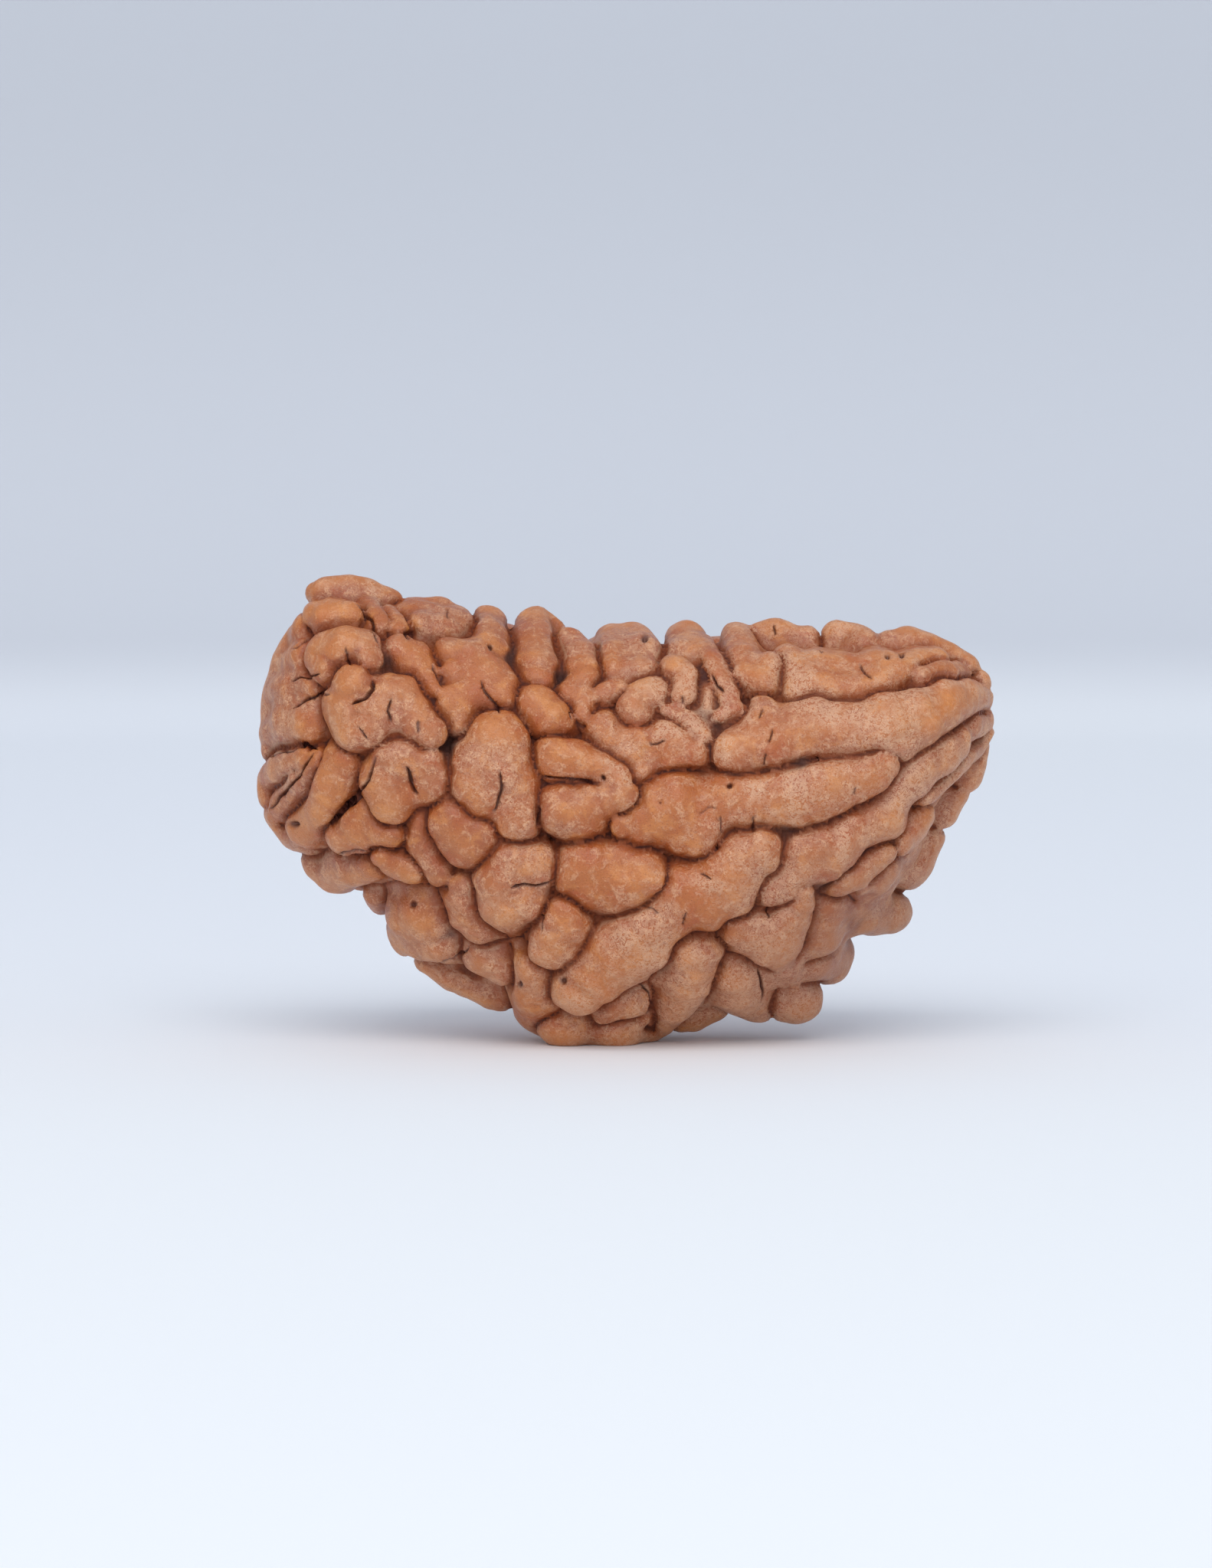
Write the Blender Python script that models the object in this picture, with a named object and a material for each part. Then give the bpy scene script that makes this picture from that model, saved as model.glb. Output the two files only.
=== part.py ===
"""Half-moon rudraksha seed, one natural piece, standing on a small flat spot of its curved edge.

The body is a thick half-moon. Rounded lobes and long ridges cover it like the folds of a walnut.
The lobes of the front are laid out one by one, in millimetres. Those of the back, the rim and the
underside follow a rule. All of them are fused into one closed skin. +X points to the tapered tip,
-Y is the front and +Z is up.
"""
import itertools
import math

import bpy
import numpy as np

# over all, in metres; every other length here is in millimetres
LENGTH = 0.0300

# the smooth body: half its thickness, how wide its edge is rounded and how fully,
# how far it lies under the crests of the lobes, and how much deeper in a ring near its edge
HALF_THICKNESS = 5.75
ROUNDING = 7.4
FULLNESS = 2.5
CORE_INSET = 0.64
RING_SINK = 0.30

# the lobes: how much larger than laid out, how far they press into each other (least and most),
# the share of that which is left on the rim, and how far the skin wanders
SWELL = 1.04
PUFF = 1.16
PRESS = 0.26
MIN_PRESS = 0.05
MAX_PRESS = 0.52
RIM_SHARE = 0.12
DRIFT = 0.14

# widths over which folds, the lobes of one fold, and folds and body run together
CREASE_BLEND = 0.10
JOIN = 0.34
CORE_BLEND = 0.34

# the front lobes are laid out as they look from here
VIEW_DISTANCE = 285.0
VIEW_RISE = math.radians(4.0)
VIEW_MIDDLE = 10.55

FLAT_LEVEL = 0.0
GROOVE_WIDTH = 0.50
GROOVE_DEPTH = 0.30
GRID_STEP = 0.22
TRIANGLES = 11900
SEED = 41

# millimetres: where the long ridges run together, past the tapered end
TIP = (16.2, 13.4)

# half-moon outline of the smooth body, clockwise from the top left horn
OUTLINE = [
    (-13.0, 18.4), (-11.5, 18.9), (-9.5, 18.2), (-7.0, 17.9), (-4.0, 17.4), (0.0, 16.9),
    (4.0, 16.9), (8.0, 16.9), (11.5, 16.9), (13.5, 16.0), (14.7, 14.7), (14.9, 13.2),
    (14.4, 11.2), (13.2, 9.3), (12.6, 7.6), (11.3, 5.4), (9.2, 3.2), (7.5, 1.3), (4.0, 0.9),
    (0.0, 0.1), (-3.5, 0.3), (-6.0, 1.9), (-8.8, 3.5), (-10.5, 5.5), (-12.6, 6.7),
    (-14.2, 8.6), (-14.9, 10.8), (-14.8, 13.5), (-14.2, 16.2),
]

# each front lobe: how proud it stands, then its spine as (across, up, radius) seen from the front
LOBES = {
    "horn_a": (0.1, [(-12.65, 18.42, 0.36), (-12.2, 18.3, 0.68), (-11.3, 18.33, 0.78),
        (-10.5, 18.18, 0.78), (-9.75, 17.9, 0.72)]),
    "underhorn": (0.0, [(-12.5, 17.35, 0.52), (-11.9, 17.4, 0.62), (-11.3, 17.4, 0.56)]),
    "horn_b": (0.0, [(-10.5, 17.75, 0.54), (-10.3, 17.2, 0.56), (-10.05, 16.8, 0.48)]),
    "browb": (-0.05, [(-9.7, 17.35, 0.54), (-9.5, 17.0, 0.54), (-9.35, 16.7, 0.46)]),
    "crescent": (0.4, [(-12.15, 15.35, 0.62), (-12.2, 15.85, 0.76), (-11.4, 16.1, 0.76),
        (-10.75, 16.0, 0.76), (-10.5, 15.6, 0.66)]),
    "curl_a": (0.65, [(-11.15, 14.62, 0.76), (-11.3, 13.75, 0.82), (-11.0, 13.0, 0.88),
        (-10.4, 12.95, 0.84), (-10.2, 13.5, 0.72)]),
    "curl_b": (0.55, [(-9.55, 14.2, 0.74), (-9.15, 14.1, 0.88), (-8.85, 13.5, 0.92),
        (-8.45, 12.95, 0.82), (-8.1, 12.65, 0.62)]),
    "rim_a": (0.0, [(-13.0, 16.95, 0.46), (-13.4, 16.5, 0.56), (-13.7, 16.05, 0.58)]),
    "rim_b": (0.0, [(-13.0, 15.75, 0.62), (-13.85, 15.35, 0.62)]),
    "rim_c": (0.0, [(-12.75, 14.6, 0.5), (-13.5, 14.4, 0.56), (-14.1, 14.3, 0.66)]),
    "rim_d": (0.05, [(-12.8, 13.15, 0.95), (-13.5, 12.95, 0.92), (-14.05, 12.5, 0.88),
        (-14.2, 12.0, 0.74)]),
    "rim_e": (-0.1, [(-13.95, 15.6, 0.5), (-14.2, 14.6, 0.58), (-14.25, 13.6, 0.6)]),
    "rime": (0.0, [(-13.15, 11.62, 0.46), (-13.9, 11.2, 0.66), (-14.35, 10.85, 0.72),
        (-14.35, 10.2, 0.7)]),
    "rimf": (-0.1, [(-12.6, 11.5, 0.38), (-13.2, 10.65, 0.56), (-13.65, 9.95, 0.68),
        (-14.05, 9.35, 0.74)]),
    "rimg": (0.15, [(-11.55, 11.45, 0.68), (-11.9, 10.6, 0.72), (-12.25, 9.7, 0.8),
        (-12.85, 8.8, 0.9)]),
    "rimh": (-0.1, [(-13.85, 9.1, 0.76), (-13.5, 8.6, 0.76), (-12.9, 8.35, 0.74)]),
    "shelf": (0.15, [(-11.55, 8.55, 0.8), (-10.8, 8.75, 0.8), (-10.1, 8.75, 0.66), (-9.6, 8.65, 0.56)]),
    "shelf_up": (-0.1, [(-10.9, 9.2, 0.55), (-10.55, 9.55, 0.45)]),
    "jowl": (0.0, [(-12.25, 7.35, 0.88), (-11.9, 7.02, 0.92), (-11.25, 7.1, 0.66), (-10.5, 7.2, 0.48)]),
    "bean": (0.2, [(-9.85, 7.7, 0.42), (-9.3, 7.45, 0.66), (-8.85, 7.15, 0.54)]),
    "tuck": (-0.8, [(-10.15, 6.25, 0.62), (-10.0, 5.85, 0.62)]),
    "kidney_a": (0.5, [(-9.65, 11.6, 0.72), (-9.85, 10.7, 0.78), (-9.5, 10.0, 0.84)]),
    "kidney_b": (0.5, [(-9.0, 11.65, 0.8), (-8.25, 11.3, 0.84), (-8.0, 10.75, 0.82)]),
    "strap": (-0.1, [(-8.3, 9.15, 0.62), (-8.35, 8.45, 0.62), (-8.0, 7.6, 0.58), (-7.65, 7.0, 0.52)]),
    "egg": (0.5, [(-7.05, 9.15, 0.88), (-6.6, 8.7, 1.02), (-6.25, 8.3, 1.0), (-5.95, 8.5, 0.7)]),
    "thumb_a": (0.75, [(-5.35, 12.1, 1.3), (-5.7, 11.2, 1.28), (-6.05, 10.6, 1.0),
        (-5.75, 10.05, 0.78)]),
    "thumb_b": (0.7, [(-4.9, 11.15, 0.72), (-4.5, 10.5, 0.92), (-4.4, 9.8, 0.95), (-4.4, 9.25, 0.95)]),
    "fist_a": (0.75, [(-2.6, 9.6, 1.0), (-2.1, 9.45, 1.18), (-1.45, 9.65, 1.12), (-0.75, 9.9, 0.95),
        (-0.25, 10.0, 0.7)]),
    "fistup": (0.6, [(-2.8, 11.5, 0.82), (-2.0, 11.35, 0.88), (-1.2, 11.05, 0.84), (-0.5, 10.6, 0.78)]),
    "oval_a": (0.6, [(-1.95, 7.2, 1.05), (-1.3, 7.0, 1.35), (-0.5, 6.95, 1.5), (0.2, 6.8, 1.25)]),
    "oval_b": (0.5, [(0.75, 7.0, 0.8), (0.9, 6.8, 0.8)]),
    "mitten": (0.6, [(-3.9, 7.25, 0.92), (-4.5, 7.2, 1.08), (-5.05, 6.6, 1.02), (-4.85, 5.85, 1.12),
        (-4.3, 5.9, 0.85)]),
    "sleeve": (-0.1, [(-6.7, 6.4, 0.6), (-6.65, 5.9, 0.7), (-6.4, 5.2, 0.72), (-6.05, 4.7, 0.66)]),
    "knuckle": (0.4, [(-2.6, 5.1, 0.92), (-2.5, 4.85, 0.95), (-2.85, 4.2, 0.85), (-3.1, 3.7, 0.75)]),
    "cheek": (0.0, [(-8.65, 5.35, 1.05), (-8.1, 5.3, 1.2), (-8.65, 4.7, 1.15), (-7.95, 4.5, 1.2),
        (-7.5, 4.2, 0.85)]),
    "china": (-0.1, [(-7.8, 3.35, 0.76), (-6.9, 2.8, 0.9), (-6.2, 2.75, 0.92)]),
    "chinb": (-0.15, [(-6.35, 2.65, 1.0), (-5.6, 2.35, 1.05), (-5.1, 2.25, 0.98)]),
    "chinc": (-0.1, [(-5.7, 3.7, 0.9), (-5.0, 3.3, 0.95)]),
    "heel": (0.2, [(-3.75, 3.1, 0.92), (-3.6, 2.2, 1.05), (-3.4, 1.45, 1.12), (-2.9, 1.2, 1.12)]),
    "ridge_a": (0.6, [(-1.95, 2.4, 1.12), (-1.2, 3.0, 1.25), (-0.4, 3.7, 1.35), (0.4, 4.2, 1.22),
        (0.9, 4.55, 0.95)]),
    "ridge_b": (0.5, [(1.65, 5.35, 1.0), (2.1, 6.0, 1.15), (2.4, 6.3, 1.05)]),
    "ridge_c": (0.6, [(3.3, 6.1, 1.2), (4.0, 6.25, 1.12), (4.3, 6.7, 1.05)]),
    "ridge_d": (0.6, [(3.9, 7.05, 0.92), (4.7, 7.5, 0.9), (5.5, 7.85, 0.78)]),
    "rope_a": (0.1, [(5.8, 6.3, 0.68), (6.4, 6.55, 0.82), (6.9, 7.2, 0.85)]),
    "rope_b": (0.35, [(7.35, 7.8, 1.08), (8.0, 7.95, 1.12), (8.5, 8.05, 1.0)]),
    "rope_c": (0.3, [(9.35, 8.8, 0.8), (10.0, 9.1, 0.92), (10.4, 9.2, 0.84)]),
    "rope_d": (0.15, [(10.85, 10.4, 0.72), (11.4, 10.8, 0.72)]),
    "rope_e": (0.2, [(12.0, 11.5, 0.85), (12.75, 11.9, 0.85), (13.35, 12.3, 0.7)]),
    "rope_f": (0.1, [(14.05, 12.9, 0.54), (14.5, 13.2, 0.52)]),
    "log_a": (0.5, [(-0.1, 8.9, 0.5), (0.6, 9.0, 0.88), (1.4, 9.3, 1.2), (2.1, 9.6, 1.32),
        (2.5, 9.0, 1.2), (2.95, 8.6, 0.85)]),
    "log_b": (0.45, [(4.2, 9.85, 1.16), (5.1, 9.8, 1.08), (5.9, 9.85, 1.24), (6.8, 10.0, 1.22),
        (7.6, 10.15, 1.06), (8.4, 10.45, 1.12), (9.1, 10.75, 0.98), (9.8, 11.05, 0.86),
        (10.35, 11.35, 0.52)]),
    "beam": (0.3, [(4.4, 11.9, 0.84), (5.2, 12.2, 0.95), (5.9, 12.2, 0.88), (6.6, 12.4, 1.05),
        (7.5, 12.7, 1.14), (8.2, 12.6, 1.0), (8.9, 12.6, 1.08), (9.8, 12.7, 0.98),
        (10.4, 12.85, 0.95)]),
    "beam_tip": (0.3, [(10.9, 13.1, 0.95), (11.8, 13.4, 0.92), (12.8, 13.85, 0.8), (13.7, 14.05, 0.7),
        (14.3, 13.95, 0.62)]),
    "strand": (0.0, [(12.0, 14.9, 0.45), (13.0, 15.0, 0.47), (13.8, 15.0, 0.48), (14.35, 14.7, 0.48)]),
    "palm_a": (0.0, [(-1.05, 12.75, 0.85), (-0.8, 12.2, 0.7), (-0.4, 11.7, 0.55)]),
    "palm_b": (0.0, [(0.3, 12.2, 0.8), (0.4, 11.6, 0.82), (0.5, 11.0, 0.66)]),
    "palm_c": (0.0, [(1.75, 12.25, 0.9), (2.3, 12.0, 0.98), (2.75, 11.8, 0.8), (1.9, 11.6, 0.8)]),
    "brow_a": (0.0, [(-8.9, 17.2, 0.8), (-8.35, 17.35, 0.9), (-7.7, 17.35, 0.95), (-7.15, 17.05, 0.88),
        (-6.95, 16.95, 0.76)]),
    "brow_b": (-0.1, [(-8.4, 16.8, 0.74), (-8.0, 17.0, 0.86), (-7.5, 16.7, 0.78)]),
    "slope_a": (0.15, [(-9.25, 15.95, 0.62), (-8.7, 15.5, 0.72), (-8.15, 14.9, 0.64),
        (-7.75, 14.35, 0.46)]),
    "tier_a": (0.0, [(-7.1, 15.75, 0.66), (-6.5, 15.7, 0.62), (-7.15, 15.1, 0.46)]),
    "tier_b": (0.0, [(-5.58, 17.3, 0.58), (-5.55, 16.6, 0.68), (-5.5, 15.95, 0.76)]),
    "tier_c": (0.1, [(-7.3, 13.95, 0.58), (-6.7, 13.9, 0.74), (-6.25, 14.4, 0.66), (-5.85, 15.0, 0.5)]),
    "tier_d": (0.05, [(-5.3, 15.1, 0.46), (-5.02, 14.6, 0.5), (-5.1, 14.05, 0.42)]),
    "tier_e": (0.1, [(-6.9, 13.4, 0.7), (-6.75, 12.95, 0.62), (-6.9, 13.9, 0.6)]),
    "peak_a": (0.0, [(-3.0, 16.75, 0.54), (-3.85, 17.04, 0.76), (-3.62, 16.2, 0.84), (-3.6, 15.4, 0.78),
        (-3.65, 14.7, 0.7)]),
    "drop_a": (-0.1, [(-2.45, 16.3, 0.64), (-1.95, 15.8, 0.7), (-1.8, 15.2, 0.66),
        (-1.75, 14.9, 0.52)]),
    "knob": (0.3, [(-3.75, 13.75, 0.88), (-3.35, 13.4, 1.02), (-2.95, 13.2, 0.9)]),
    "drop_b": (-0.1, [(-2.35, 14.2, 0.56), (-1.65, 13.95, 0.64), (-1.85, 13.4, 0.6)]),
    "crown_a": (0.0, [(-0.6, 16.42, 0.66), (-0.62, 15.8, 0.6), (-0.5, 15.3, 0.52)]),
    "crown_b": (0.0, [(0.38, 16.38, 0.74), (0.6, 15.75, 0.76), (0.7, 15.1, 0.68)]),
    "dome_a": (0.15, [(0.45, 13.5, 0.62), (0.75, 13.95, 0.8), (1.1, 14.15, 0.74)]),
    "crown_c": (-0.2, [(-0.95, 14.2, 0.54), (-0.2, 14.3, 0.6)]),
    "perch_a": (0.1, [(1.9, 15.1, 0.62), (2.3, 14.85, 0.58), (2.3, 14.2, 0.5)]),
    "perch_b": (0.0, [(2.42, 16.48, 0.73), (2.3, 15.8, 0.64)]),
    "perch_c": (-0.1, [(2.95, 16.1, 0.6), (3.5, 15.4, 0.54), (3.85, 14.7, 0.5), (4.15, 13.9, 0.46)]),
    "web_a": (-0.1, [(1.9, 13.6, 0.46), (2.5, 13.1, 0.48), (3.15, 12.5, 0.42)]),
    "web_b": (-0.4, [(3.15, 15.0, 0.46), (3.3, 14.3, 0.52), (3.35, 13.6, 0.56), (3.5, 13.1, 0.5)]),
    "saddle_a": (0.0, [(4.58, 16.42, 0.72), (4.7, 15.7, 0.62), (4.75, 15.0, 0.5)]),
    "saddle_b": (0.15, [(5.7, 15.1, 0.74), (5.5, 14.75, 0.7)]),
    "sheet_a": (-0.1, [(5.35, 16.38, 0.66), (6.05, 16.6, 0.7), (6.8, 16.35, 0.66), (7.3, 16.32, 0.66)]),
    "sling_d": (-0.1, [(6.6, 15.5, 0.68), (7.0, 14.9, 0.66), (7.1, 14.3, 0.6)]),
    "sling_a": (-0.05, [(7.7, 14.5, 0.54), (8.6, 14.35, 0.58), (9.5, 14.4, 0.6), (10.3, 14.75, 0.58)]),
    "sling_b": (-0.05, [(7.9, 15.4, 0.5), (8.8, 15.3, 0.52)]),
    "sling_c": (0.0, [(10.2, 15.4, 0.56), (11.0, 15.2, 0.58), (11.9, 15.45, 0.6), (12.5, 15.5, 0.55)]),
    "cap_a": (-0.1, [(8.75, 16.48, 0.7), (9.3, 16.46, 0.7), (9.7, 16.25, 0.58)]),
    "nub": (-0.2, [(3.9, 13.35, 0.46), (4.45, 13.5, 0.46)]),
    "beam_bump": (0.0, [(5.6, 13.6, 0.46), (5.45, 13.2, 0.5)]),
    "beam_hump": (0.0, [(7.0, 13.3, 0.6), (7.6, 13.3, 0.6)]),
    "cap_b": (0.0, [(10.9, 16.25, 0.68), (11.6, 16.3, 0.76), (12.3, 16.05, 0.72), (13.1, 15.75, 0.64),
        (13.8, 15.35, 0.6)]),
    "wisp": (-0.1, [(12.2, 10.2, 0.4), (13.0, 10.85, 0.4), (13.7, 11.5, 0.4), (14.3, 12.15, 0.36),
        (14.75, 12.65, 0.25)]),
    "edgea": (-0.9, [(13.75, 10.7, 0.62), (14.05, 11.4, 0.58), (14.35, 12.2, 0.4)]),
    "edgeb": (-0.9, [(12.6, 9.2, 0.62), (12.9, 9.45, 0.66), (13.35, 10.05, 0.66)]),
    "leafa": (-0.1, [(11.1, 8.3, 0.55), (11.6, 8.9, 0.68), (11.95, 9.25, 0.55)]),
    "leafb": (0.0, [(8.9, 6.6, 0.55), (9.35, 6.85, 0.68), (9.7, 7.2, 0.62), (10.4, 7.75, 0.5)]),
    "leafc": (-0.35, [(9.6, 6.35, 0.42), (10.2, 6.7, 0.62), (10.5, 7.1, 0.6)]),
    "edgec": (-1.0, [(12.1, 8.4, 0.84), (11.78, 7.7, 0.82), (11.4, 7.0, 0.82)]),
    "finger": (-1.0, [(9.7, 5.2, 0.8), (10.4, 5.2, 0.86), (10.82, 5.2, 0.82)]),
    "fold_a": (0.1, [(4.6, 4.75, 0.8), (5.1, 4.65, 1.0), (5.8, 4.35, 1.05)]),
    "fold_b": (0.1, [(6.3, 4.4, 0.9), (6.6, 5.1, 0.85), (7.0, 5.7, 0.6), (7.15, 6.15, 0.42)]),
    "hind": (-0.5, [(8.3, 5.5, 0.5), (8.0, 5.0, 0.8), (7.9, 4.4, 0.85)]),
    "edged": (-0.9, [(7.7, 3.3, 0.76), (8.4, 3.5, 0.92), (8.4, 3.25, 0.86)]),
    "plum": (0.2, [(2.7, 3.65, 1.0), (2.75, 3.1, 0.95), (2.4, 2.4, 0.84), (1.9, 1.5, 0.78),
        (1.3, 0.95, 0.76)]),
    "toea": (-0.1, [(4.5, 2.9, 0.98), (4.6, 2.3, 1.0), (5.35, 1.78, 0.98)]),
    "toeb": (-0.1, [(6.1, 2.0, 1.0), (6.7, 1.95, 1.17), (6.9, 1.9, 1.12)]),
    "toec": (-0.5, [(3.45, 1.5, 0.76), (2.8, 1.2, 0.8), (2.35, 1.1, 0.7)]),
    "foot_a": (-0.1, [(-2.6, 1.0, 0.98), (-1.7, 1.05, 0.98), (-0.8, 1.4, 0.74), (0.1, 1.6, 0.62)]),
    "foot_b": (-0.2, [(0.5, 1.15, 0.7), (0.9, 1.12, 0.74)]),
}

# pads under the belly that carry the flat spot: (x, y, z, radius)
PADS = [
    (-2.4, -1.2, 1.15, 1.36), (-1.8, -0.1, 1.15, 1.60), (-0.4, -1.0, 1.10, 1.40),
    (-2.3, 1.2, 1.15, 1.50), (-0.7, 1.1, 1.15, 1.55), (0.6, 0.2, 1.15, 1.35),
]

# the growth line that runs between the two rows of teeth on the top edge: (x, y)
LINE = [
    (-9.3, 0.1), (-7.0, 0.2), (-4.5, 0.5), (-2.0, 0.3), (0.5, 0.6), (4.0, 0.4), (7.0, 0.6),
    (9.0, 0.3), (10.8, 0.1),
]


def depth_inside(u, v):
    """Distance inside the outline, negative outside it."""
    ends = np.array(OUTLINE)
    starts = np.roll(ends, 1, axis=0)
    edge = ends - starts
    point = np.stack([u, v], -1)[..., None, :]
    along = ((point - starts) * edge).sum(-1) / (edge * edge).sum(-1)
    near = starts + np.clip(along, 0, 1)[..., None] * edge
    gap = np.sqrt(((point - near) ** 2).sum(-1)).min(-1)
    x = point[..., 0]
    y = point[..., 1]
    spans = (ends[:, 1] > y) != (starts[:, 1] > y)
    rise = np.where(np.abs(edge[:, 1]) < 1e-9, 1e-9, edge[:, 1])
    left = x < starts[:, 0] + (y - starts[:, 1]) * edge[:, 0] / rise
    return np.where((spans & left).sum(-1) % 2 == 1, gap, -gap)


def shell(u, v, radius):
    """Half thickness at which a ball of this radius touches the body's skin from inside."""
    inner = np.clip(depth_inside(u, v) - radius, 0, ROUNDING - radius) / (ROUNDING - radius)
    return (HALF_THICKNESS - radius) * np.sqrt(1 - (1 - inner) ** FULLNESS)


def inner_share(x, z):
    """0 where the body has its full thickness, 1 at its edge, more outside."""
    return np.clip(1 - (depth_inside(x, z) - CORE_INSET) / (ROUNDING - CORE_INSET), 0, None)


def core_gap(share, y):
    """About the distance to the smooth body under the folds."""
    thick = HALF_THICKNESS - CORE_INSET
    sunk = RING_SINK * 4 * share ** 2 * np.clip(1 - share ** 2, 0, None)
    return thick * (np.sqrt((y / thick) ** 2 + share ** FULLNESS) - 1) + sunk


def outward(spots):
    """Direction out of the smooth body at each point."""
    step = 0.3
    x, y, z = spots.T
    across = core_gap(inner_share(x + step, z), y) - core_gap(inner_share(x - step, z), y)
    deep = core_gap(inner_share(x, z), y + step) - core_gap(inner_share(x, z), y - step)
    up = core_gap(inner_share(x, z + step), y) - core_gap(inner_share(x, z - step), y)
    slope = np.stack([across, deep, up], -1)
    return slope / np.maximum(np.linalg.norm(slope, axis=-1, keepdims=True), 1e-9)


def pressed(chain, fold, folds):
    """A lobe grown until it presses on its neighbours, and sunk so that its crest stays.

    Lobes on the rim grow less, so that the gaps between the teeth stay open.
    """
    others = np.concatenate([other for near in folds if near is not fold for other in near])
    gap = np.linalg.norm(chain[:, None, :3] - others[None, :, :3], axis=-1)
    slack = (gap - chain[:, None, 3] - others[None, :, 3]).min(1)
    grow = np.clip(slack / 2 + PRESS, MIN_PRESS, MAX_PRESS) + (PUFF - 1) * chain[:, 3]
    way = outward(chain[:, :3])
    grow = grow * (RIM_SHARE + (1 - RIM_SHARE) * np.abs(way[:, 1]))
    spots = chain[:, :3] - way * grow[:, None]
    return np.concatenate([spots, chain[:, 3:] + grow[:, None]], 1)


def front_folds():
    """The laid-out lobes as points in space; those that share a first word make one fold."""
    folds = {}
    for name, (lift, spine) in LOBES.items():
        spots = np.array(spine, float)
        y = -shell(spots[:, 0], spots[:, 1], spots[:, 2]) - lift
        scale = 1 + y / VIEW_DISTANCE
        x = spots[:, 0] * scale
        z = VIEW_MIDDLE + (spots[:, 1] - VIEW_MIDDLE) * scale - y * math.sin(VIEW_RISE)
        chain = np.stack([x, y, z, spots[:, 2] * SWELL * scale], -1)
        folds.setdefault(name.split("_")[0], []).append(chain)
    folds = list(folds.values())
    return [[pressed(chain, fold, folds) for chain in fold] for fold in folds]


def ruled_spine(rng, u, v, radius, count):
    """One spine of the hidden sides: teeth on top, ridges toward the tip, coils at the blunt end."""
    if v > 14.2 and depth_inside(np.array([u]), np.array([v]))[0] < 2.0:
        heading = -math.pi / 2 + rng.normal(0, 0.25)
        turn = rng.normal(0, 0.1)
        count = min(count, 3)
    elif u > -1.0:
        heading = math.atan2(TIP[1] - v, TIP[0] - u) + rng.normal(0, 0.22)
        turn = rng.normal(0, 0.08)
    else:
        heading = rng.uniform(-math.pi, math.pi)
        turn = rng.normal(0, 0.55)
        count = min(count, 4)
    phase = rng.uniform(0, 6.3)
    spots = []
    for step in range(count):
        spots.append((u, v, radius * (1 + 0.16 * math.sin(phase + 1.4 * step))))
        u += math.cos(heading) * radius * 0.9
        v += math.sin(heading) * radius * 0.9
        heading += turn
    return np.array(spots)


def nearest_fold(chain, folds):
    """Index of the fold that comes closest to the lobe."""
    gaps = []
    for fold in folds:
        balls = np.concatenate(fold)
        gap = np.linalg.norm(chain[:, None, :3] - balls[None, :, :3], axis=-1)
        gaps.append((gap - chain[:, None, 3] - balls[None, :, 3]).min())
    return int(np.argmin(gaps))


def ruled_folds(folds):
    """Lobes of the hidden sides: long ones first, then smaller ones that branch off them."""
    rng = np.random.default_rng(SEED)
    placed = np.concatenate([chain for fold in folds for chain in fold])
    grown = []
    # smallest and largest radius, fewest and most balls, tries, least spacing, lift, branches
    rounds = [
        (0.95, 1.25, 5, 7, 500, 0.86, 0.15, False), (0.90, 1.25, 2, 5, 4000, 0.84, 0.15, False),
        (0.75, 1.00, 2, 4, 6000, 0.84, 0.05, True), (0.65, 0.85, 1, 3, 5000, 0.86, 0.0, True),
    ]
    for small, large, fewest, most, tries, packing, lift, branches in rounds:
        for _ in range(tries):
            radius = rng.uniform(small, large)
            count = rng.integers(fewest, most + 1)
            u = rng.uniform(-14.6, 14.8)
            v = rng.uniform(0.6, 18.2)
            spots = ruled_spine(rng, u, v, radius, count)
            proud = lift + rng.uniform(-0.2, 0.25)
            room = depth_inside(spots[:, 0], spots[:, 1]) - spots[:, 2]
            if room.min() < 0.22:
                continue
            y = shell(spots[:, 0], spots[:, 1], spots[:, 2]) + proud
            chain = np.stack([spots[:, 0], y, spots[:, 1], spots[:, 2]], -1)
            gap = np.linalg.norm(chain[:, None, :3] - placed[None, :, :3], axis=-1)
            if (gap / (chain[:, None, 3] + placed[None, :, 3])).min() < packing:
                continue
            placed = np.concatenate([placed, chain])
            if branches:
                grown[nearest_fold(chain, grown)].append(chain)
            else:
                grown.append([chain])
    return [[pressed(chain, fold, folds + grown) for chain in fold] for fold in grown]


def chain_gap(points, chain):
    """Distance to a chain of balls joined by tapering rods."""
    near = np.full(points.shape[:-1], 9.0)
    ends = chain[1:] if len(chain) > 1 else chain
    for a, b in zip(chain, ends):
        span = b[:3] - a[:3]
        along = np.clip(((points - a[:3]) @ span) / max(span @ span, 1e-9), 0, 1)
        gap = np.linalg.norm(points - a[:3] - along[..., None] * span, axis=-1)
        near = np.minimum(near, gap - a[3] - along * (b[3] - a[3]))
    return near


def blend(a, b, width):
    """The smaller of two distances, rounded where they are nearly equal."""
    touch = np.clip(width - np.abs(a - b), 0, None)
    return np.minimum(a, b) - touch ** 2 / (4 * width)


def fold_gap(points, fold):
    """Distance to a fold, whose lobes run into each other, more softly the more there are."""
    width = JOIN * min(1 + 0.1 * (len(fold) - 2), 1.4)
    near = chain_gap(points, fold[0])
    for chain in fold[1:]:
        near = blend(near, chain_gap(points, chain), width)
    return near


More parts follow.
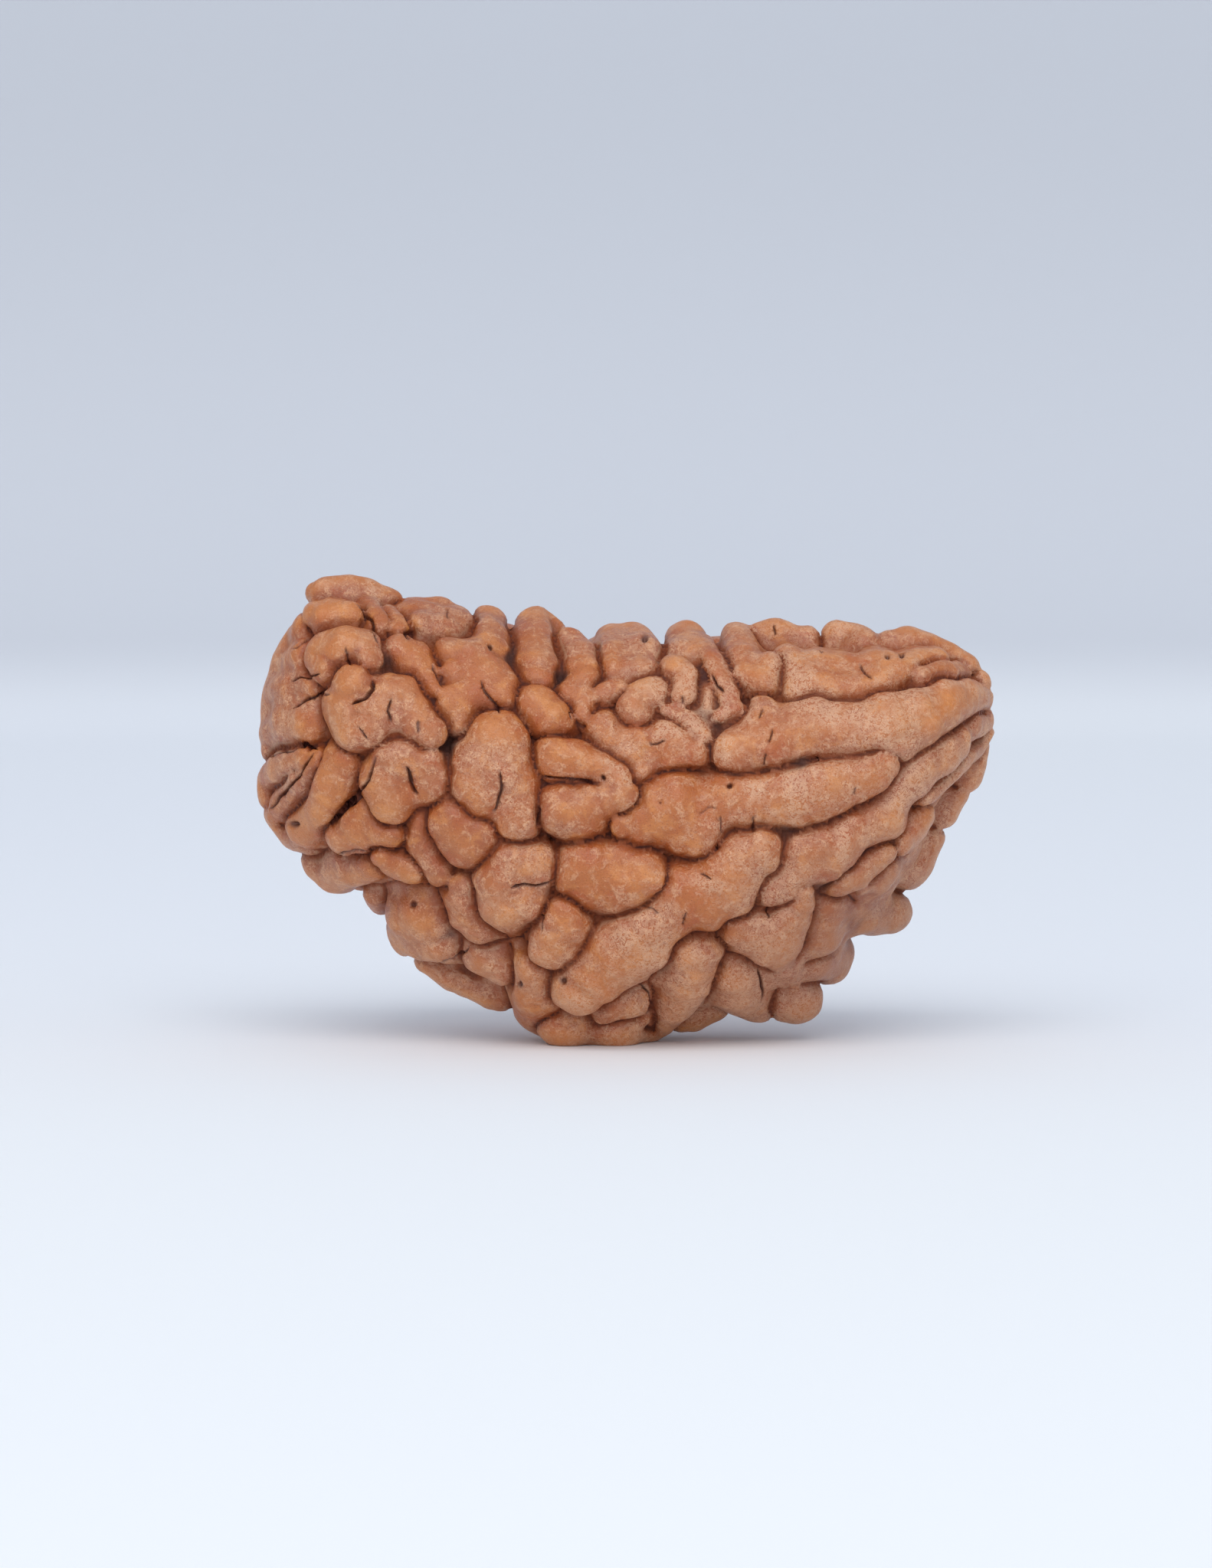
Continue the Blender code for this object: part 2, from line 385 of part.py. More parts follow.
def body_field(folds, axes):
    """Distance to the fused folds and body at every grid point, in millimetres."""
    shape = tuple(len(axis) for axis in axes)
    first = np.full(shape, 2.0)
    second = np.full(shape, 2.0)
    for fold in folds:
        balls = np.concatenate(fold)
        reach = balls[:, 3].max() + 0.8
        window = []
        for i in range(3):
            start = np.searchsorted(axes[i], balls[:, i].min() - reach)
            stop = np.searchsorted(axes[i], balls[:, i].max() + reach)
            window.append(slice(start, stop))
        window = tuple(window)
        parts = [axes[i][window[i]] for i in range(3)]
        near = fold_gap(np.stack(np.meshgrid(*parts, indexing="ij"), -1), fold)
        second[window] = np.minimum(second[window], np.maximum(first[window], near))
        first[window] = np.minimum(first[window], near)
    skin = blend(first, second, CREASE_BLEND)
    x, z = np.meshgrid(axes[0], axes[2], indexing="ij")
    core = core_gap(inner_share(x, z)[:, None, :], axes[1][None, :, None])
    return blend(skin, core, CORE_BLEND)


def without_tunnels(field):
    """The folds are fused behind: nothing passes under a lobe from one crease to the next."""
    from_front = np.minimum.accumulate(field, axis=1)
    from_back = np.minimum.accumulate(field[:, ::-1], axis=1)[:, ::-1]
    return np.maximum(from_front, from_back)


def cut_groove(field, axes):
    """The fine growth line sunk along the top edge, between the two rows of teeth."""
    x, y = np.meshgrid(axes[0], axes[1], indexing="ij")
    gap = np.full(x.shape, 9.0)
    for a, b in zip(np.array(LINE[:-1]), np.array(LINE[1:])):
        span = b - a
        along = ((x - a[0]) * span[0] + (y - a[1]) * span[1]) / (span @ span)
        along = np.clip(along, 0, 1)
        far = np.hypot(x - a[0] - along * span[0], y - a[1] - along * span[1])
        gap = np.minimum(gap, far)
    depth = GROOVE_DEPTH * np.exp(-(gap / (GROOVE_WIDTH / 2)) ** 2)
    high = np.clip((axes[2] - 13.0) / 1.5, 0, 1)
    return field + depth[:, :, None] * high[None, None, :]


def ripple(points, cell, seed):
    """Smooth random waves between -1 and 1 of about this cell size."""
    table = np.random.default_rng(seed).uniform(-1, 1, (64, 64, 64))
    place = points / cell
    corner = np.floor(place).astype(int)
    part = place - corner
    part = part * part * (3 - 2 * part)
    total = np.zeros(len(points))
    for shift in itertools.product((0, 1), repeat=3):
        weight = np.ones(len(points))
        for i in range(3):
            weight = weight * (part[:, i] if shift[i] else 1 - part[:, i])
        total += weight * table[tuple(((corner + np.array(shift)) % 64).T)]
    return total


def drifted(points):
    """The skin pushed about a little, so that no fold stays perfectly round."""
    push = np.stack([ripple(points, 1.6, seed) for seed in (11, 12, 13)], -1)
    small = np.stack([ripple(points, 0.7, seed) for seed in (14, 15, 16)], -1)
    above = np.clip((points[:, 2:] - FLAT_LEVEL) / 1.5, 0, 1)
    return points + (DRIFT * push + 0.4 * DRIFT * small) * above


def skin_of(field, axes):
    """Closed triangle skin where the field crosses zero, each grid cell cut in six tetrahedra."""
    field = np.where(np.abs(field) < 1e-5, 1e-5, field)
    values = field.ravel()
    index = np.arange(values.size).reshape(field.shape)
    inner = [field[tuple(slice(s, n - 1 + s) for s, n in zip(shift, field.shape))] < 0
             for shift in itertools.product((0, 1), repeat=3)]
    crossed = np.any(inner, axis=0) & ~np.all(inner, axis=0)
    base = index[:-1, :-1, :-1][crossed]
    jump = [index[1, 0, 0], index[0, 1, 0], index[0, 0, 1]]
    # corners sorted with the outer ones first; each pair is an edge from an outer to an inner one
    cases = [
        (1, [(0, 3), (1, 3), (2, 3)]), (3, [(0, 1), (0, 2), (0, 3)]),
        (2, [(0, 2), (0, 3), (1, 3)]), (2, [(0, 2), (1, 3), (1, 2)]),
    ]
    pairs = []
    for order in itertools.permutations(range(3)):
        tets = base[:, None] + np.cumsum([0] + [jump[axis] for axis in order])
        within = values[tets] < 0
        count = within.sum(1)
        mixed = (count > 0) & (count < 4)
        tets = tets[mixed]
        count = count[mixed]
        sort = np.argsort(within[mixed], axis=1, kind="stable")
        tets = np.take_along_axis(tets, sort, axis=1)
        for number, edges in cases:
            pairs.append(tets[count == number][:, np.array(edges)])
    pairs = np.concatenate(pairs)
    keys = pairs.min(-1) * values.size + pairs.max(-1)
    unique, faces = np.unique(keys, return_inverse=True)
    faces = faces.reshape(keys.shape)

    def spot(number):
        cell = np.unravel_index(number, field.shape)
        return np.stack([axes[i][cell[i]] for i in range(3)], -1)

    a = unique // values.size
    b = unique % values.size
    share = np.clip(values[a] / (values[a] - values[b]), 0.04, 0.96)[:, None]
    points = spot(a) * (1 - share) + spot(b) * share
    outward = (spot(pairs[..., 0]) - spot(pairs[..., 1])).sum(1)
    p, q, r = [points[faces[:, i]] for i in range(3)]
    flip = (np.cross(q - p, r - p) * outward).sum(-1) < 0
    faces[flip] = faces[flip][:, ::-1]
    return points, faces


def largest_body(points, faces):
    """Only the biggest connected skin, so that no sealed pocket is left inside."""
    label = np.arange(len(points))
    while True:
        lowest = label.copy()
        np.minimum.at(lowest, faces.ravel(), np.repeat(label[faces].min(1), 3))
        lowest = lowest[lowest]
        if (lowest == label).all():
            break
        label = lowest
    kept = label == np.bincount(label).argmax()
    number = np.cumsum(kept) - 1
    return points[kept], number[faces[kept[faces[:, 0]]]]


def seed_material():
    material = bpy.data.materials.new("seed_shell")
    material.use_nodes = True
    shader = material.node_tree.nodes["Principled BSDF"]
    shader.inputs["Base Color"].default_value = (0.45, 0.19, 0.085, 1.0)
    shader.inputs["Roughness"].default_value = 0.55
    material.diffuse_color = (0.45, 0.19, 0.085, 1.0)
    return material


def build_seed():
    folds = front_folds()
    folds.append([np.array([pad]) for pad in PADS])
    folds += ruled_folds(folds)
    low = (-16.4, -8.2, -0.6)
    high = (16.4, 8.2, 20.2)
    axes = [np.arange(low[i], high[i], GRID_STEP) for i in range(3)]
    field = cut_groove(without_tunnels(body_field(folds, axes)), axes)
    field = np.maximum(field, FLAT_LEVEL - axes[2][None, None, :])
    points, faces = largest_body(*skin_of(field, axes))
    points = drifted(points)

    rough = bpy.data.meshes.new("seed_rough")
    rough.from_pydata(points.tolist(), [], faces.tolist())
    seed = bpy.data.objects.new("seed", rough)
    bpy.context.scene.collection.objects.link(seed)
    thin = seed.modifiers.new("thin", "DECIMATE")
    thin.ratio = TRIANGLES / len(faces)
    bpy.context.view_layer.update()
    graph = bpy.context.evaluated_depsgraph_get()
    mesh = bpy.data.meshes.new_from_object(seed.evaluated_get(graph))
    seed.modifiers.clear()
    seed.data = mesh
    mesh.name = "seed"

    spots = np.empty(len(mesh.vertices) * 3)
    mesh.vertices.foreach_get("co", spots)
    spots = spots.reshape(-1, 3)
    spots[spots[:, 2] < FLAT_LEVEL + 0.01, 2] = FLAT_LEVEL
    least = spots.min(0)
    most = spots.max(0)
    middle = np.array([(least[0] + most[0]) / 2, (least[1] + most[1]) / 2, least[2]])
    spots = (spots - middle) * LENGTH / (most[0] - least[0])
    mesh.vertices.foreach_set("co", spots.ravel())
    mesh.materials.append(seed_material())
    mesh.update()
    return seed


for item in list(bpy.data.objects):
    bpy.data.objects.remove(item, do_unlink=True)
build_seed()
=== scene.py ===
"""Looks of the half-moon rudraksha seed: its folded skin, fine relief, colours and studio."""

import itertools
import math

import bmesh
import bpy
import numpy as np
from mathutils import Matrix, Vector


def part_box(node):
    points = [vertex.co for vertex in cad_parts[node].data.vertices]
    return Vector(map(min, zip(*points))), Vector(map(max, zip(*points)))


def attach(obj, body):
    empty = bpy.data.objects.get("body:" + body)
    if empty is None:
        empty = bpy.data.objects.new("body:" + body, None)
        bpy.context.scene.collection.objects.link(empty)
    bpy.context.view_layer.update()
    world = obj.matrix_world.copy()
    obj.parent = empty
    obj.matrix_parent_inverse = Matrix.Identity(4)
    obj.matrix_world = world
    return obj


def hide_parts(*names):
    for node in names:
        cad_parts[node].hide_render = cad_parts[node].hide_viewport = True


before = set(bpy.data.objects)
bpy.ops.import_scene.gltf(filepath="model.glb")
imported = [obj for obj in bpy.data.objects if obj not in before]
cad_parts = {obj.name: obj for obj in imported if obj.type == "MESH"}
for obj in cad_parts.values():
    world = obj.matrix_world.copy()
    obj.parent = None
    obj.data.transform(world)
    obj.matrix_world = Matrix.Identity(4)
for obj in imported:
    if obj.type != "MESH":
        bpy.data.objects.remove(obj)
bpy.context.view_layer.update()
LOW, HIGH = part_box("seed")

# Lengths are in millimetres, those of the studio in metres.

# the smooth body: half its thickness, how wide its edge is rounded and how fully,
# how far it lies under the crests of the lobes, and how much deeper in a ring near its edge
HALF_THICKNESS = 5.75
ROUNDING = 7.4
FULLNESS = 2.5
CORE_INSET = 0.64
RING_SINK = 0.30

# the lobes: how much larger than laid out, how far they press into each other (least and most),
# the share of that which is left on the rim, and how far the skin wanders
SWELL = 1.04
PUFF = 1.16
PRESS = 0.26
MIN_PRESS = 0.05
MAX_PRESS = 0.52
RIM_SHARE = 0.12
DRIFT = 0.14

# widths over which folds, the lobes of one fold, and folds and body run together
CREASE_BLEND = 0.06
JOIN = 0.34
CORE_BLEND = 0.34

# the hidden sides: least height of the teeth, where the coils end and the ridges begin, where the
# ridges run together past the tapered end, and the least room to the rim
TEETH_LEVEL = 14.2
COILS_END = -1.0
TIP = (16.2, 13.4)
RIM_ROOM = 0.22

# the flat spot it stands on, and the growth line, which fades out below the top edge
FLAT_LEVEL = 0.0
GROOVE_WIDTH = 0.50
GROOVE_DEPTH = 0.30
GROOVE_FOOT = 13.0
GROOVE_FADE = 1.5

# the front lobes are laid out as the camera sees them: its distance, its angle above the floor,
# the height and the place across that it looks at, and the width that it sees
VIEW_DISTANCE = 285.0
VIEW_RISE = math.radians(4.0)
VIEW_MIDDLE = 10.55
VIEW_ACROSS = -0.81
VIEW_WIDTH = 63.97

# random draws, a length beyond all others, grid, number of faces, and how deep a cut has to be
# for its faces to be split, and again
SEED = 41
FAR = 9.0
GRID_STEP = 0.125
GRID_LOW = (-16.0, -7.2, -0.6)
GRID_HIGH = (16.0, 7.2, 19.8)
TRIANGLES = 150000
SPLIT_DEPTHS = (0.01, 0.03)

# the front, up to this far behind the middle, is thinned out by this share
FRONT_LIMIT = 1.5
FRONT_SPARE = 0.35

# cuts: share of their laid-out width and depth, and how far their line wavers
CUT_WIDTH = 0.48
CUT_DEPTH = 0.65
CUT_WAVER = 0.05

# relief of the skin: (height, size of the waves, seed), and creases: (depth, width)
RELIEF = [(0.055, 1.7, 1), (0.03, 0.8, 2), (0.012, 0.33, 3)]
CREASES = [(0.11, 0.09), (0.06, 0.40)]

# share of the CAD box that the skin fills
FIT = 0.9995

# the white tent: strength from the side and where it is brightest, and the way to that place
TENT_SIDE = 0.08
TENT_TOP = 0.95
TENT_WAY = (0.0, -0.80, 0.60)

# the studio: half its width, front and back of the floor, radius of the bend, top of the wall
STAGE_HALF = 1.5
FLOOR_FRONT = -1.2
FLOOR_BACK = 0.19
BEND = 0.09
BEND_STEPS = 16
WALL_TOP = 1.2

# half-moon outline of the smooth body, clockwise from the top left horn
OUTLINE = [
    (-13.0, 18.4), (-11.5, 18.9), (-9.5, 18.2), (-7.0, 17.9), (-4.0, 17.4), (0.0, 16.9),
    (4.0, 16.9), (8.0, 16.9), (11.5, 16.9), (13.5, 16.0), (14.7, 14.7), (14.9, 13.2),
    (14.4, 11.2), (13.2, 9.3), (12.6, 7.6), (11.3, 5.4), (9.2, 3.2), (7.5, 1.3), (4.0, 0.9),
    (0.0, 0.1), (-3.5, 0.3), (-6.0, 1.9), (-8.8, 3.5), (-10.5, 5.5), (-12.6, 6.7),
    (-14.2, 8.6), (-14.9, 10.8), (-14.8, 13.5), (-14.2, 16.2),
]

# each front lobe: how proud it stands, then its spine as (across, up, radius) seen from the front
LOBES = {
    "horn_a": (0.1, [(-12.65, 18.42, 0.36), (-12.2, 18.3, 0.68), (-11.3, 18.33, 0.78),
        (-10.5, 18.18, 0.78), (-9.75, 17.9, 0.72)]),
    "underhorn": (0.0, [(-12.5, 17.35, 0.52), (-11.9, 17.4, 0.62), (-11.3, 17.4, 0.56)]),
    "horn_b": (0.0, [(-10.5, 17.75, 0.54), (-10.3, 17.2, 0.56), (-10.05, 16.8, 0.48)]),
    "browb": (-0.05, [(-9.7, 17.35, 0.54), (-9.5, 17.0, 0.54), (-9.35, 16.7, 0.46)]),
    "crescent": (0.4, [(-12.15, 15.35, 0.62), (-12.2, 15.85, 0.76), (-11.4, 16.1, 0.76),
        (-10.75, 16.0, 0.76), (-10.5, 15.6, 0.66)]),
    "curl_a": (0.65, [(-11.15, 14.62, 0.76), (-11.3, 13.75, 0.82), (-11.0, 13.0, 0.88),
        (-10.4, 12.95, 0.84), (-10.2, 13.5, 0.72)]),
    "curl_b": (0.55, [(-9.55, 14.2, 0.74), (-9.15, 14.1, 0.88), (-8.85, 13.5, 0.92),
        (-8.45, 12.95, 0.82), (-8.1, 12.65, 0.62)]),
    "rim_a": (0.0, [(-13.0, 16.95, 0.46), (-13.4, 16.5, 0.56), (-13.7, 16.05, 0.58)]),
    "rim_b": (0.0, [(-13.0, 15.75, 0.62), (-13.85, 15.35, 0.62)]),
    "rim_c": (0.0, [(-12.75, 14.6, 0.5), (-13.5, 14.4, 0.56), (-14.1, 14.3, 0.66)]),
    "rim_d": (0.05, [(-12.8, 13.15, 0.95), (-13.5, 12.95, 0.92), (-14.05, 12.5, 0.88),
        (-14.2, 12.0, 0.74)]),
    "rim_e": (-0.1, [(-13.95, 15.6, 0.5), (-14.2, 14.6, 0.58), (-14.25, 13.6, 0.6)]),
    "rime": (0.0, [(-13.15, 11.62, 0.46), (-13.9, 11.2, 0.66), (-14.35, 10.85, 0.72),
        (-14.35, 10.2, 0.7)]),
    "rimf": (-0.1, [(-12.6, 11.5, 0.38), (-13.2, 10.65, 0.56), (-13.65, 9.95, 0.68),
        (-14.05, 9.35, 0.74)]),
    "rimg": (0.15, [(-11.55, 11.45, 0.68), (-11.9, 10.6, 0.72), (-12.25, 9.7, 0.8),
        (-12.85, 8.8, 0.9)]),
    "rimh": (-0.1, [(-13.85, 9.1, 0.76), (-13.5, 8.6, 0.76), (-12.9, 8.35, 0.74)]),
    "shelf": (0.15, [(-11.55, 8.55, 0.8), (-10.8, 8.75, 0.8), (-10.1, 8.75, 0.66),
        (-9.6, 8.65, 0.56)]),
    "shelf_up": (-0.1, [(-10.9, 9.2, 0.55), (-10.55, 9.55, 0.45)]),
    "jowl": (0.0, [(-12.25, 7.35, 0.88), (-11.9, 7.02, 0.92), (-11.25, 7.1, 0.66),
        (-10.5, 7.2, 0.48)]),
    "bean": (0.2, [(-9.85, 7.7, 0.42), (-9.3, 7.45, 0.66), (-8.85, 7.15, 0.54)]),
    "tuck": (-0.8, [(-10.15, 6.25, 0.62), (-10.0, 5.85, 0.62)]),
    "kidney_a": (0.5, [(-9.65, 11.6, 0.72), (-9.85, 10.7, 0.78), (-9.5, 10.0, 0.84)]),
    "kidney_b": (0.5, [(-9.0, 11.65, 0.8), (-8.25, 11.3, 0.84), (-8.0, 10.75, 0.82)]),
    "strap": (-0.1, [(-8.3, 9.15, 0.62), (-8.35, 8.45, 0.62), (-8.0, 7.6, 0.58),
        (-7.65, 7.0, 0.52)]),
    "egg": (0.5, [(-7.05, 9.15, 0.88), (-6.6, 8.7, 1.02), (-6.25, 8.3, 1.0), (-5.95, 8.5, 0.7)]),
    "thumb_a": (0.75, [(-5.35, 12.1, 1.3), (-5.7, 11.2, 1.28), (-6.05, 10.6, 1.0),
        (-5.75, 10.05, 0.78)]),
    "thumb_b": (0.7, [(-4.9, 11.15, 0.72), (-4.5, 10.5, 0.92), (-4.4, 9.8, 0.95),
        (-4.4, 9.25, 0.95)]),
    "fist_a": (0.75, [(-2.6, 9.6, 1.0), (-2.1, 9.45, 1.18), (-1.45, 9.65, 1.12), (-0.75, 9.9, 0.95),
        (-0.25, 10.0, 0.7)]),
    "fistup": (0.6, [(-2.8, 11.5, 0.82), (-2.0, 11.35, 0.88), (-1.2, 11.05, 0.84),
        (-0.5, 10.6, 0.78)]),
    "oval_a": (0.6, [(-1.95, 7.2, 1.05), (-1.3, 7.0, 1.35), (-0.5, 6.95, 1.5), (0.2, 6.8, 1.25)]),
    "oval_b": (0.5, [(0.75, 7.0, 0.8), (0.9, 6.8, 0.8)]),
    "mitten": (0.6, [(-3.9, 7.25, 0.92), (-4.5, 7.2, 1.08), (-5.05, 6.6, 1.02), (-4.85, 5.85, 1.12),
        (-4.3, 5.9, 0.85)]),
    "sleeve": (-0.1, [(-6.7, 6.4, 0.6), (-6.65, 5.9, 0.7), (-6.4, 5.2, 0.72), (-6.05, 4.7, 0.66)]),
    "knuckle": (0.4, [(-2.6, 5.1, 0.92), (-2.5, 4.85, 0.95), (-2.85, 4.2, 0.85),
        (-3.1, 3.7, 0.75)]),
    "cheek": (0.0, [(-8.65, 5.35, 1.05), (-8.1, 5.3, 1.2), (-8.65, 4.7, 1.15), (-7.95, 4.5, 1.2),
        (-7.5, 4.2, 0.85)]),
    "china": (-0.1, [(-7.8, 3.35, 0.76), (-6.9, 2.8, 0.9), (-6.2, 2.75, 0.92)]),
    "chinb": (-0.15, [(-6.35, 2.65, 1.0), (-5.6, 2.35, 1.05), (-5.1, 2.25, 0.98)]),
    "chinc": (-0.1, [(-5.7, 3.7, 0.9), (-5.0, 3.3, 0.95)]),
    "heel": (0.2, [(-3.75, 3.1, 0.92), (-3.6, 2.2, 1.05), (-3.4, 1.45, 1.12), (-2.9, 1.2, 1.12)]),
    "ridge_a": (0.6, [(-1.95, 2.4, 1.12), (-1.2, 3.0, 1.25), (-0.4, 3.7, 1.35), (0.4, 4.2, 1.22),
        (0.9, 4.55, 0.95)]),
    "ridge_b": (0.5, [(1.65, 5.35, 1.0), (2.1, 6.0, 1.15), (2.4, 6.3, 1.05)]),
    "ridge_c": (0.6, [(3.3, 6.1, 1.2), (4.0, 6.25, 1.12), (4.3, 6.7, 1.05)]),
    "ridge_d": (0.6, [(3.9, 7.05, 0.92), (4.7, 7.5, 0.9), (5.5, 7.85, 0.78)]),
    "rope_a": (0.1, [(5.8, 6.3, 0.68), (6.4, 6.55, 0.82), (6.9, 7.2, 0.85)]),
    "rope_b": (0.35, [(7.35, 7.8, 1.08), (8.0, 7.95, 1.12), (8.5, 8.05, 1.0)]),
    "rope_c": (0.3, [(9.35, 8.8, 0.8), (10.0, 9.1, 0.92), (10.4, 9.2, 0.84)]),
    "rope_d": (0.15, [(10.85, 10.4, 0.72), (11.4, 10.8, 0.72)]),
    "rope_e": (0.2, [(12.0, 11.5, 0.85), (12.75, 11.9, 0.85), (13.35, 12.3, 0.7)]),
    "rope_f": (0.1, [(14.05, 12.9, 0.54), (14.5, 13.2, 0.52)]),
    "log_a": (0.5, [(-0.1, 8.9, 0.5), (0.6, 9.0, 0.88), (1.4, 9.3, 1.2), (2.1, 9.6, 1.32),
        (2.5, 9.0, 1.2), (2.95, 8.6, 0.85)]),
    "log_b": (0.45, [(4.2, 9.85, 1.16), (5.1, 9.8, 1.08), (5.9, 9.85, 1.24), (6.8, 10.0, 1.22),
        (7.6, 10.15, 1.06), (8.4, 10.45, 1.12), (9.1, 10.75, 0.98), (9.8, 11.05, 0.86),
        (10.35, 11.35, 0.52)]),
    "beam": (0.3, [(4.4, 11.9, 0.84), (5.2, 12.2, 0.95), (5.9, 12.2, 0.88), (6.6, 12.4, 1.05),
        (7.5, 12.7, 1.14), (8.2, 12.6, 1.0), (8.9, 12.6, 1.08), (9.8, 12.7, 0.98),
        (10.4, 12.85, 0.95)]),
    "beam_tip": (0.3, [(10.9, 13.1, 0.95), (11.8, 13.4, 0.92), (12.8, 13.85, 0.8),
        (13.7, 14.05, 0.7), (14.3, 13.95, 0.62)]),
    "strand": (0.0, [(12.0, 14.9, 0.45), (13.0, 15.0, 0.47), (13.8, 15.0, 0.48),
        (14.35, 14.7, 0.48)]),
    "palm_a": (0.0, [(-1.05, 12.75, 0.85), (-0.8, 12.2, 0.7), (-0.4, 11.7, 0.55)]),
    "palm_b": (0.0, [(0.3, 12.2, 0.8), (0.4, 11.6, 0.82), (0.5, 11.0, 0.66)]),
    "palm_c": (0.0, [(1.75, 12.25, 0.9), (2.3, 12.0, 0.98), (2.75, 11.8, 0.8), (1.9, 11.6, 0.8)]),
    "brow_a": (0.0, [(-8.9, 17.2, 0.8), (-8.35, 17.35, 0.9), (-7.7, 17.35, 0.95),
        (-7.15, 17.05, 0.88), (-6.95, 16.95, 0.76)]),
    "brow_b": (-0.1, [(-8.4, 16.8, 0.74), (-8.0, 17.0, 0.86), (-7.5, 16.7, 0.78)]),
    "slope_a": (0.15, [(-9.25, 15.95, 0.62), (-8.7, 15.5, 0.72), (-8.15, 14.9, 0.64),
        (-7.75, 14.35, 0.46)]),
    "tier_a": (0.0, [(-7.1, 15.75, 0.66), (-6.5, 15.7, 0.62), (-7.15, 15.1, 0.46)]),
    "tier_b": (0.0, [(-5.58, 17.3, 0.58), (-5.55, 16.6, 0.68), (-5.5, 15.95, 0.76)]),
    "tier_c": (0.1, [(-7.3, 13.95, 0.58), (-6.7, 13.9, 0.74), (-6.25, 14.4, 0.66),
        (-5.85, 15.0, 0.5)]),
    "tier_d": (0.05, [(-5.3, 15.1, 0.46), (-5.02, 14.6, 0.5), (-5.1, 14.05, 0.42)]),
    "tier_e": (0.1, [(-6.9, 13.4, 0.7), (-6.75, 12.95, 0.62), (-6.9, 13.9, 0.6)]),
    "peak_a": (0.0, [(-3.0, 16.75, 0.54), (-3.85, 17.04, 0.76), (-3.62, 16.2, 0.84),
        (-3.6, 15.4, 0.78), (-3.65, 14.7, 0.7)]),
    "drop_a": (-0.1, [(-2.45, 16.3, 0.64), (-1.95, 15.8, 0.7), (-1.8, 15.2, 0.66),
        (-1.75, 14.9, 0.52)]),
    "knob": (0.3, [(-3.75, 13.75, 0.88), (-3.35, 13.4, 1.02), (-2.95, 13.2, 0.9)]),
    "drop_b": (-0.1, [(-2.35, 14.2, 0.56), (-1.65, 13.95, 0.64), (-1.85, 13.4, 0.6)]),
    "crown_a": (0.0, [(-0.6, 16.42, 0.66), (-0.62, 15.8, 0.6), (-0.5, 15.3, 0.52)]),
    "crown_b": (0.0, [(0.38, 16.38, 0.74), (0.6, 15.75, 0.76), (0.7, 15.1, 0.68)]),
    "dome_a": (0.15, [(0.45, 13.5, 0.62), (0.75, 13.95, 0.8), (1.1, 14.15, 0.74)]),
    "crown_c": (-0.2, [(-0.95, 14.2, 0.54), (-0.2, 14.3, 0.6)]),
    "perch_a": (0.1, [(1.9, 15.1, 0.62), (2.3, 14.85, 0.58), (2.3, 14.2, 0.5)]),
    "perch_b": (0.0, [(2.42, 16.48, 0.73), (2.3, 15.8, 0.64)]),
    "perch_c": (-0.1, [(2.95, 16.1, 0.6), (3.5, 15.4, 0.54), (3.85, 14.7, 0.5),
        (4.15, 13.9, 0.46)]),
    "web_a": (-0.1, [(1.9, 13.6, 0.46), (2.5, 13.1, 0.48), (3.15, 12.5, 0.42)]),
    "web_b": (-0.4, [(3.15, 15.0, 0.46), (3.3, 14.3, 0.52), (3.35, 13.6, 0.56), (3.5, 13.1, 0.5)]),
    "saddle_a": (0.0, [(4.58, 16.42, 0.72), (4.7, 15.7, 0.62), (4.75, 15.0, 0.5)]),
    "saddle_b": (0.15, [(5.7, 15.1, 0.74), (5.5, 14.75, 0.7)]),
    "sheet_a": (-0.1, [(5.35, 16.38, 0.66), (6.05, 16.6, 0.7), (6.8, 16.35, 0.66),
        (7.3, 16.32, 0.66)]),
    "sling_d": (-0.1, [(6.6, 15.5, 0.68), (7.0, 14.9, 0.66), (7.1, 14.3, 0.6)]),
    "sling_a": (-0.05, [(7.7, 14.5, 0.54), (8.6, 14.35, 0.58), (9.5, 14.4, 0.6),
        (10.3, 14.75, 0.58)]),
    "sling_b": (-0.05, [(7.9, 15.4, 0.5), (8.8, 15.3, 0.52)]),
    "sling_c": (0.0, [(10.2, 15.4, 0.56), (11.0, 15.2, 0.58), (11.9, 15.45, 0.6),
        (12.5, 15.5, 0.55)]),
    "cap_a": (-0.1, [(8.75, 16.48, 0.7), (9.3, 16.46, 0.7), (9.7, 16.25, 0.58)]),
    "nub": (-0.2, [(3.9, 13.35, 0.46), (4.45, 13.5, 0.46)]),
    "beam_bump": (0.0, [(5.6, 13.6, 0.46), (5.45, 13.2, 0.5)]),
    "beam_hump": (0.0, [(7.0, 13.3, 0.6), (7.6, 13.3, 0.6)]),
    "cap_b": (0.0, [(10.9, 16.25, 0.68), (11.6, 16.3, 0.76), (12.3, 16.05, 0.72),
        (13.1, 15.75, 0.64), (13.8, 15.35, 0.6)]),
    "wisp": (-0.1, [(12.2, 10.2, 0.4), (13.0, 10.85, 0.4), (13.7, 11.5, 0.4), (14.3, 12.15, 0.36),
        (14.75, 12.65, 0.25)]),
    "edgea": (-0.9, [(13.75, 10.7, 0.62), (14.05, 11.4, 0.58), (14.35, 12.2, 0.4)]),
    "edgeb": (-0.9, [(12.6, 9.2, 0.62), (12.9, 9.45, 0.66), (13.35, 10.05, 0.66)]),
    "leafa": (-0.1, [(11.1, 8.3, 0.55), (11.6, 8.9, 0.68), (11.95, 9.25, 0.55)]),
    "leafb": (0.0, [(8.9, 6.6, 0.55), (9.35, 6.85, 0.68), (9.7, 7.2, 0.62), (10.4, 7.75, 0.5)]),
    "leafc": (-0.35, [(9.6, 6.35, 0.42), (10.2, 6.7, 0.62), (10.5, 7.1, 0.6)]),
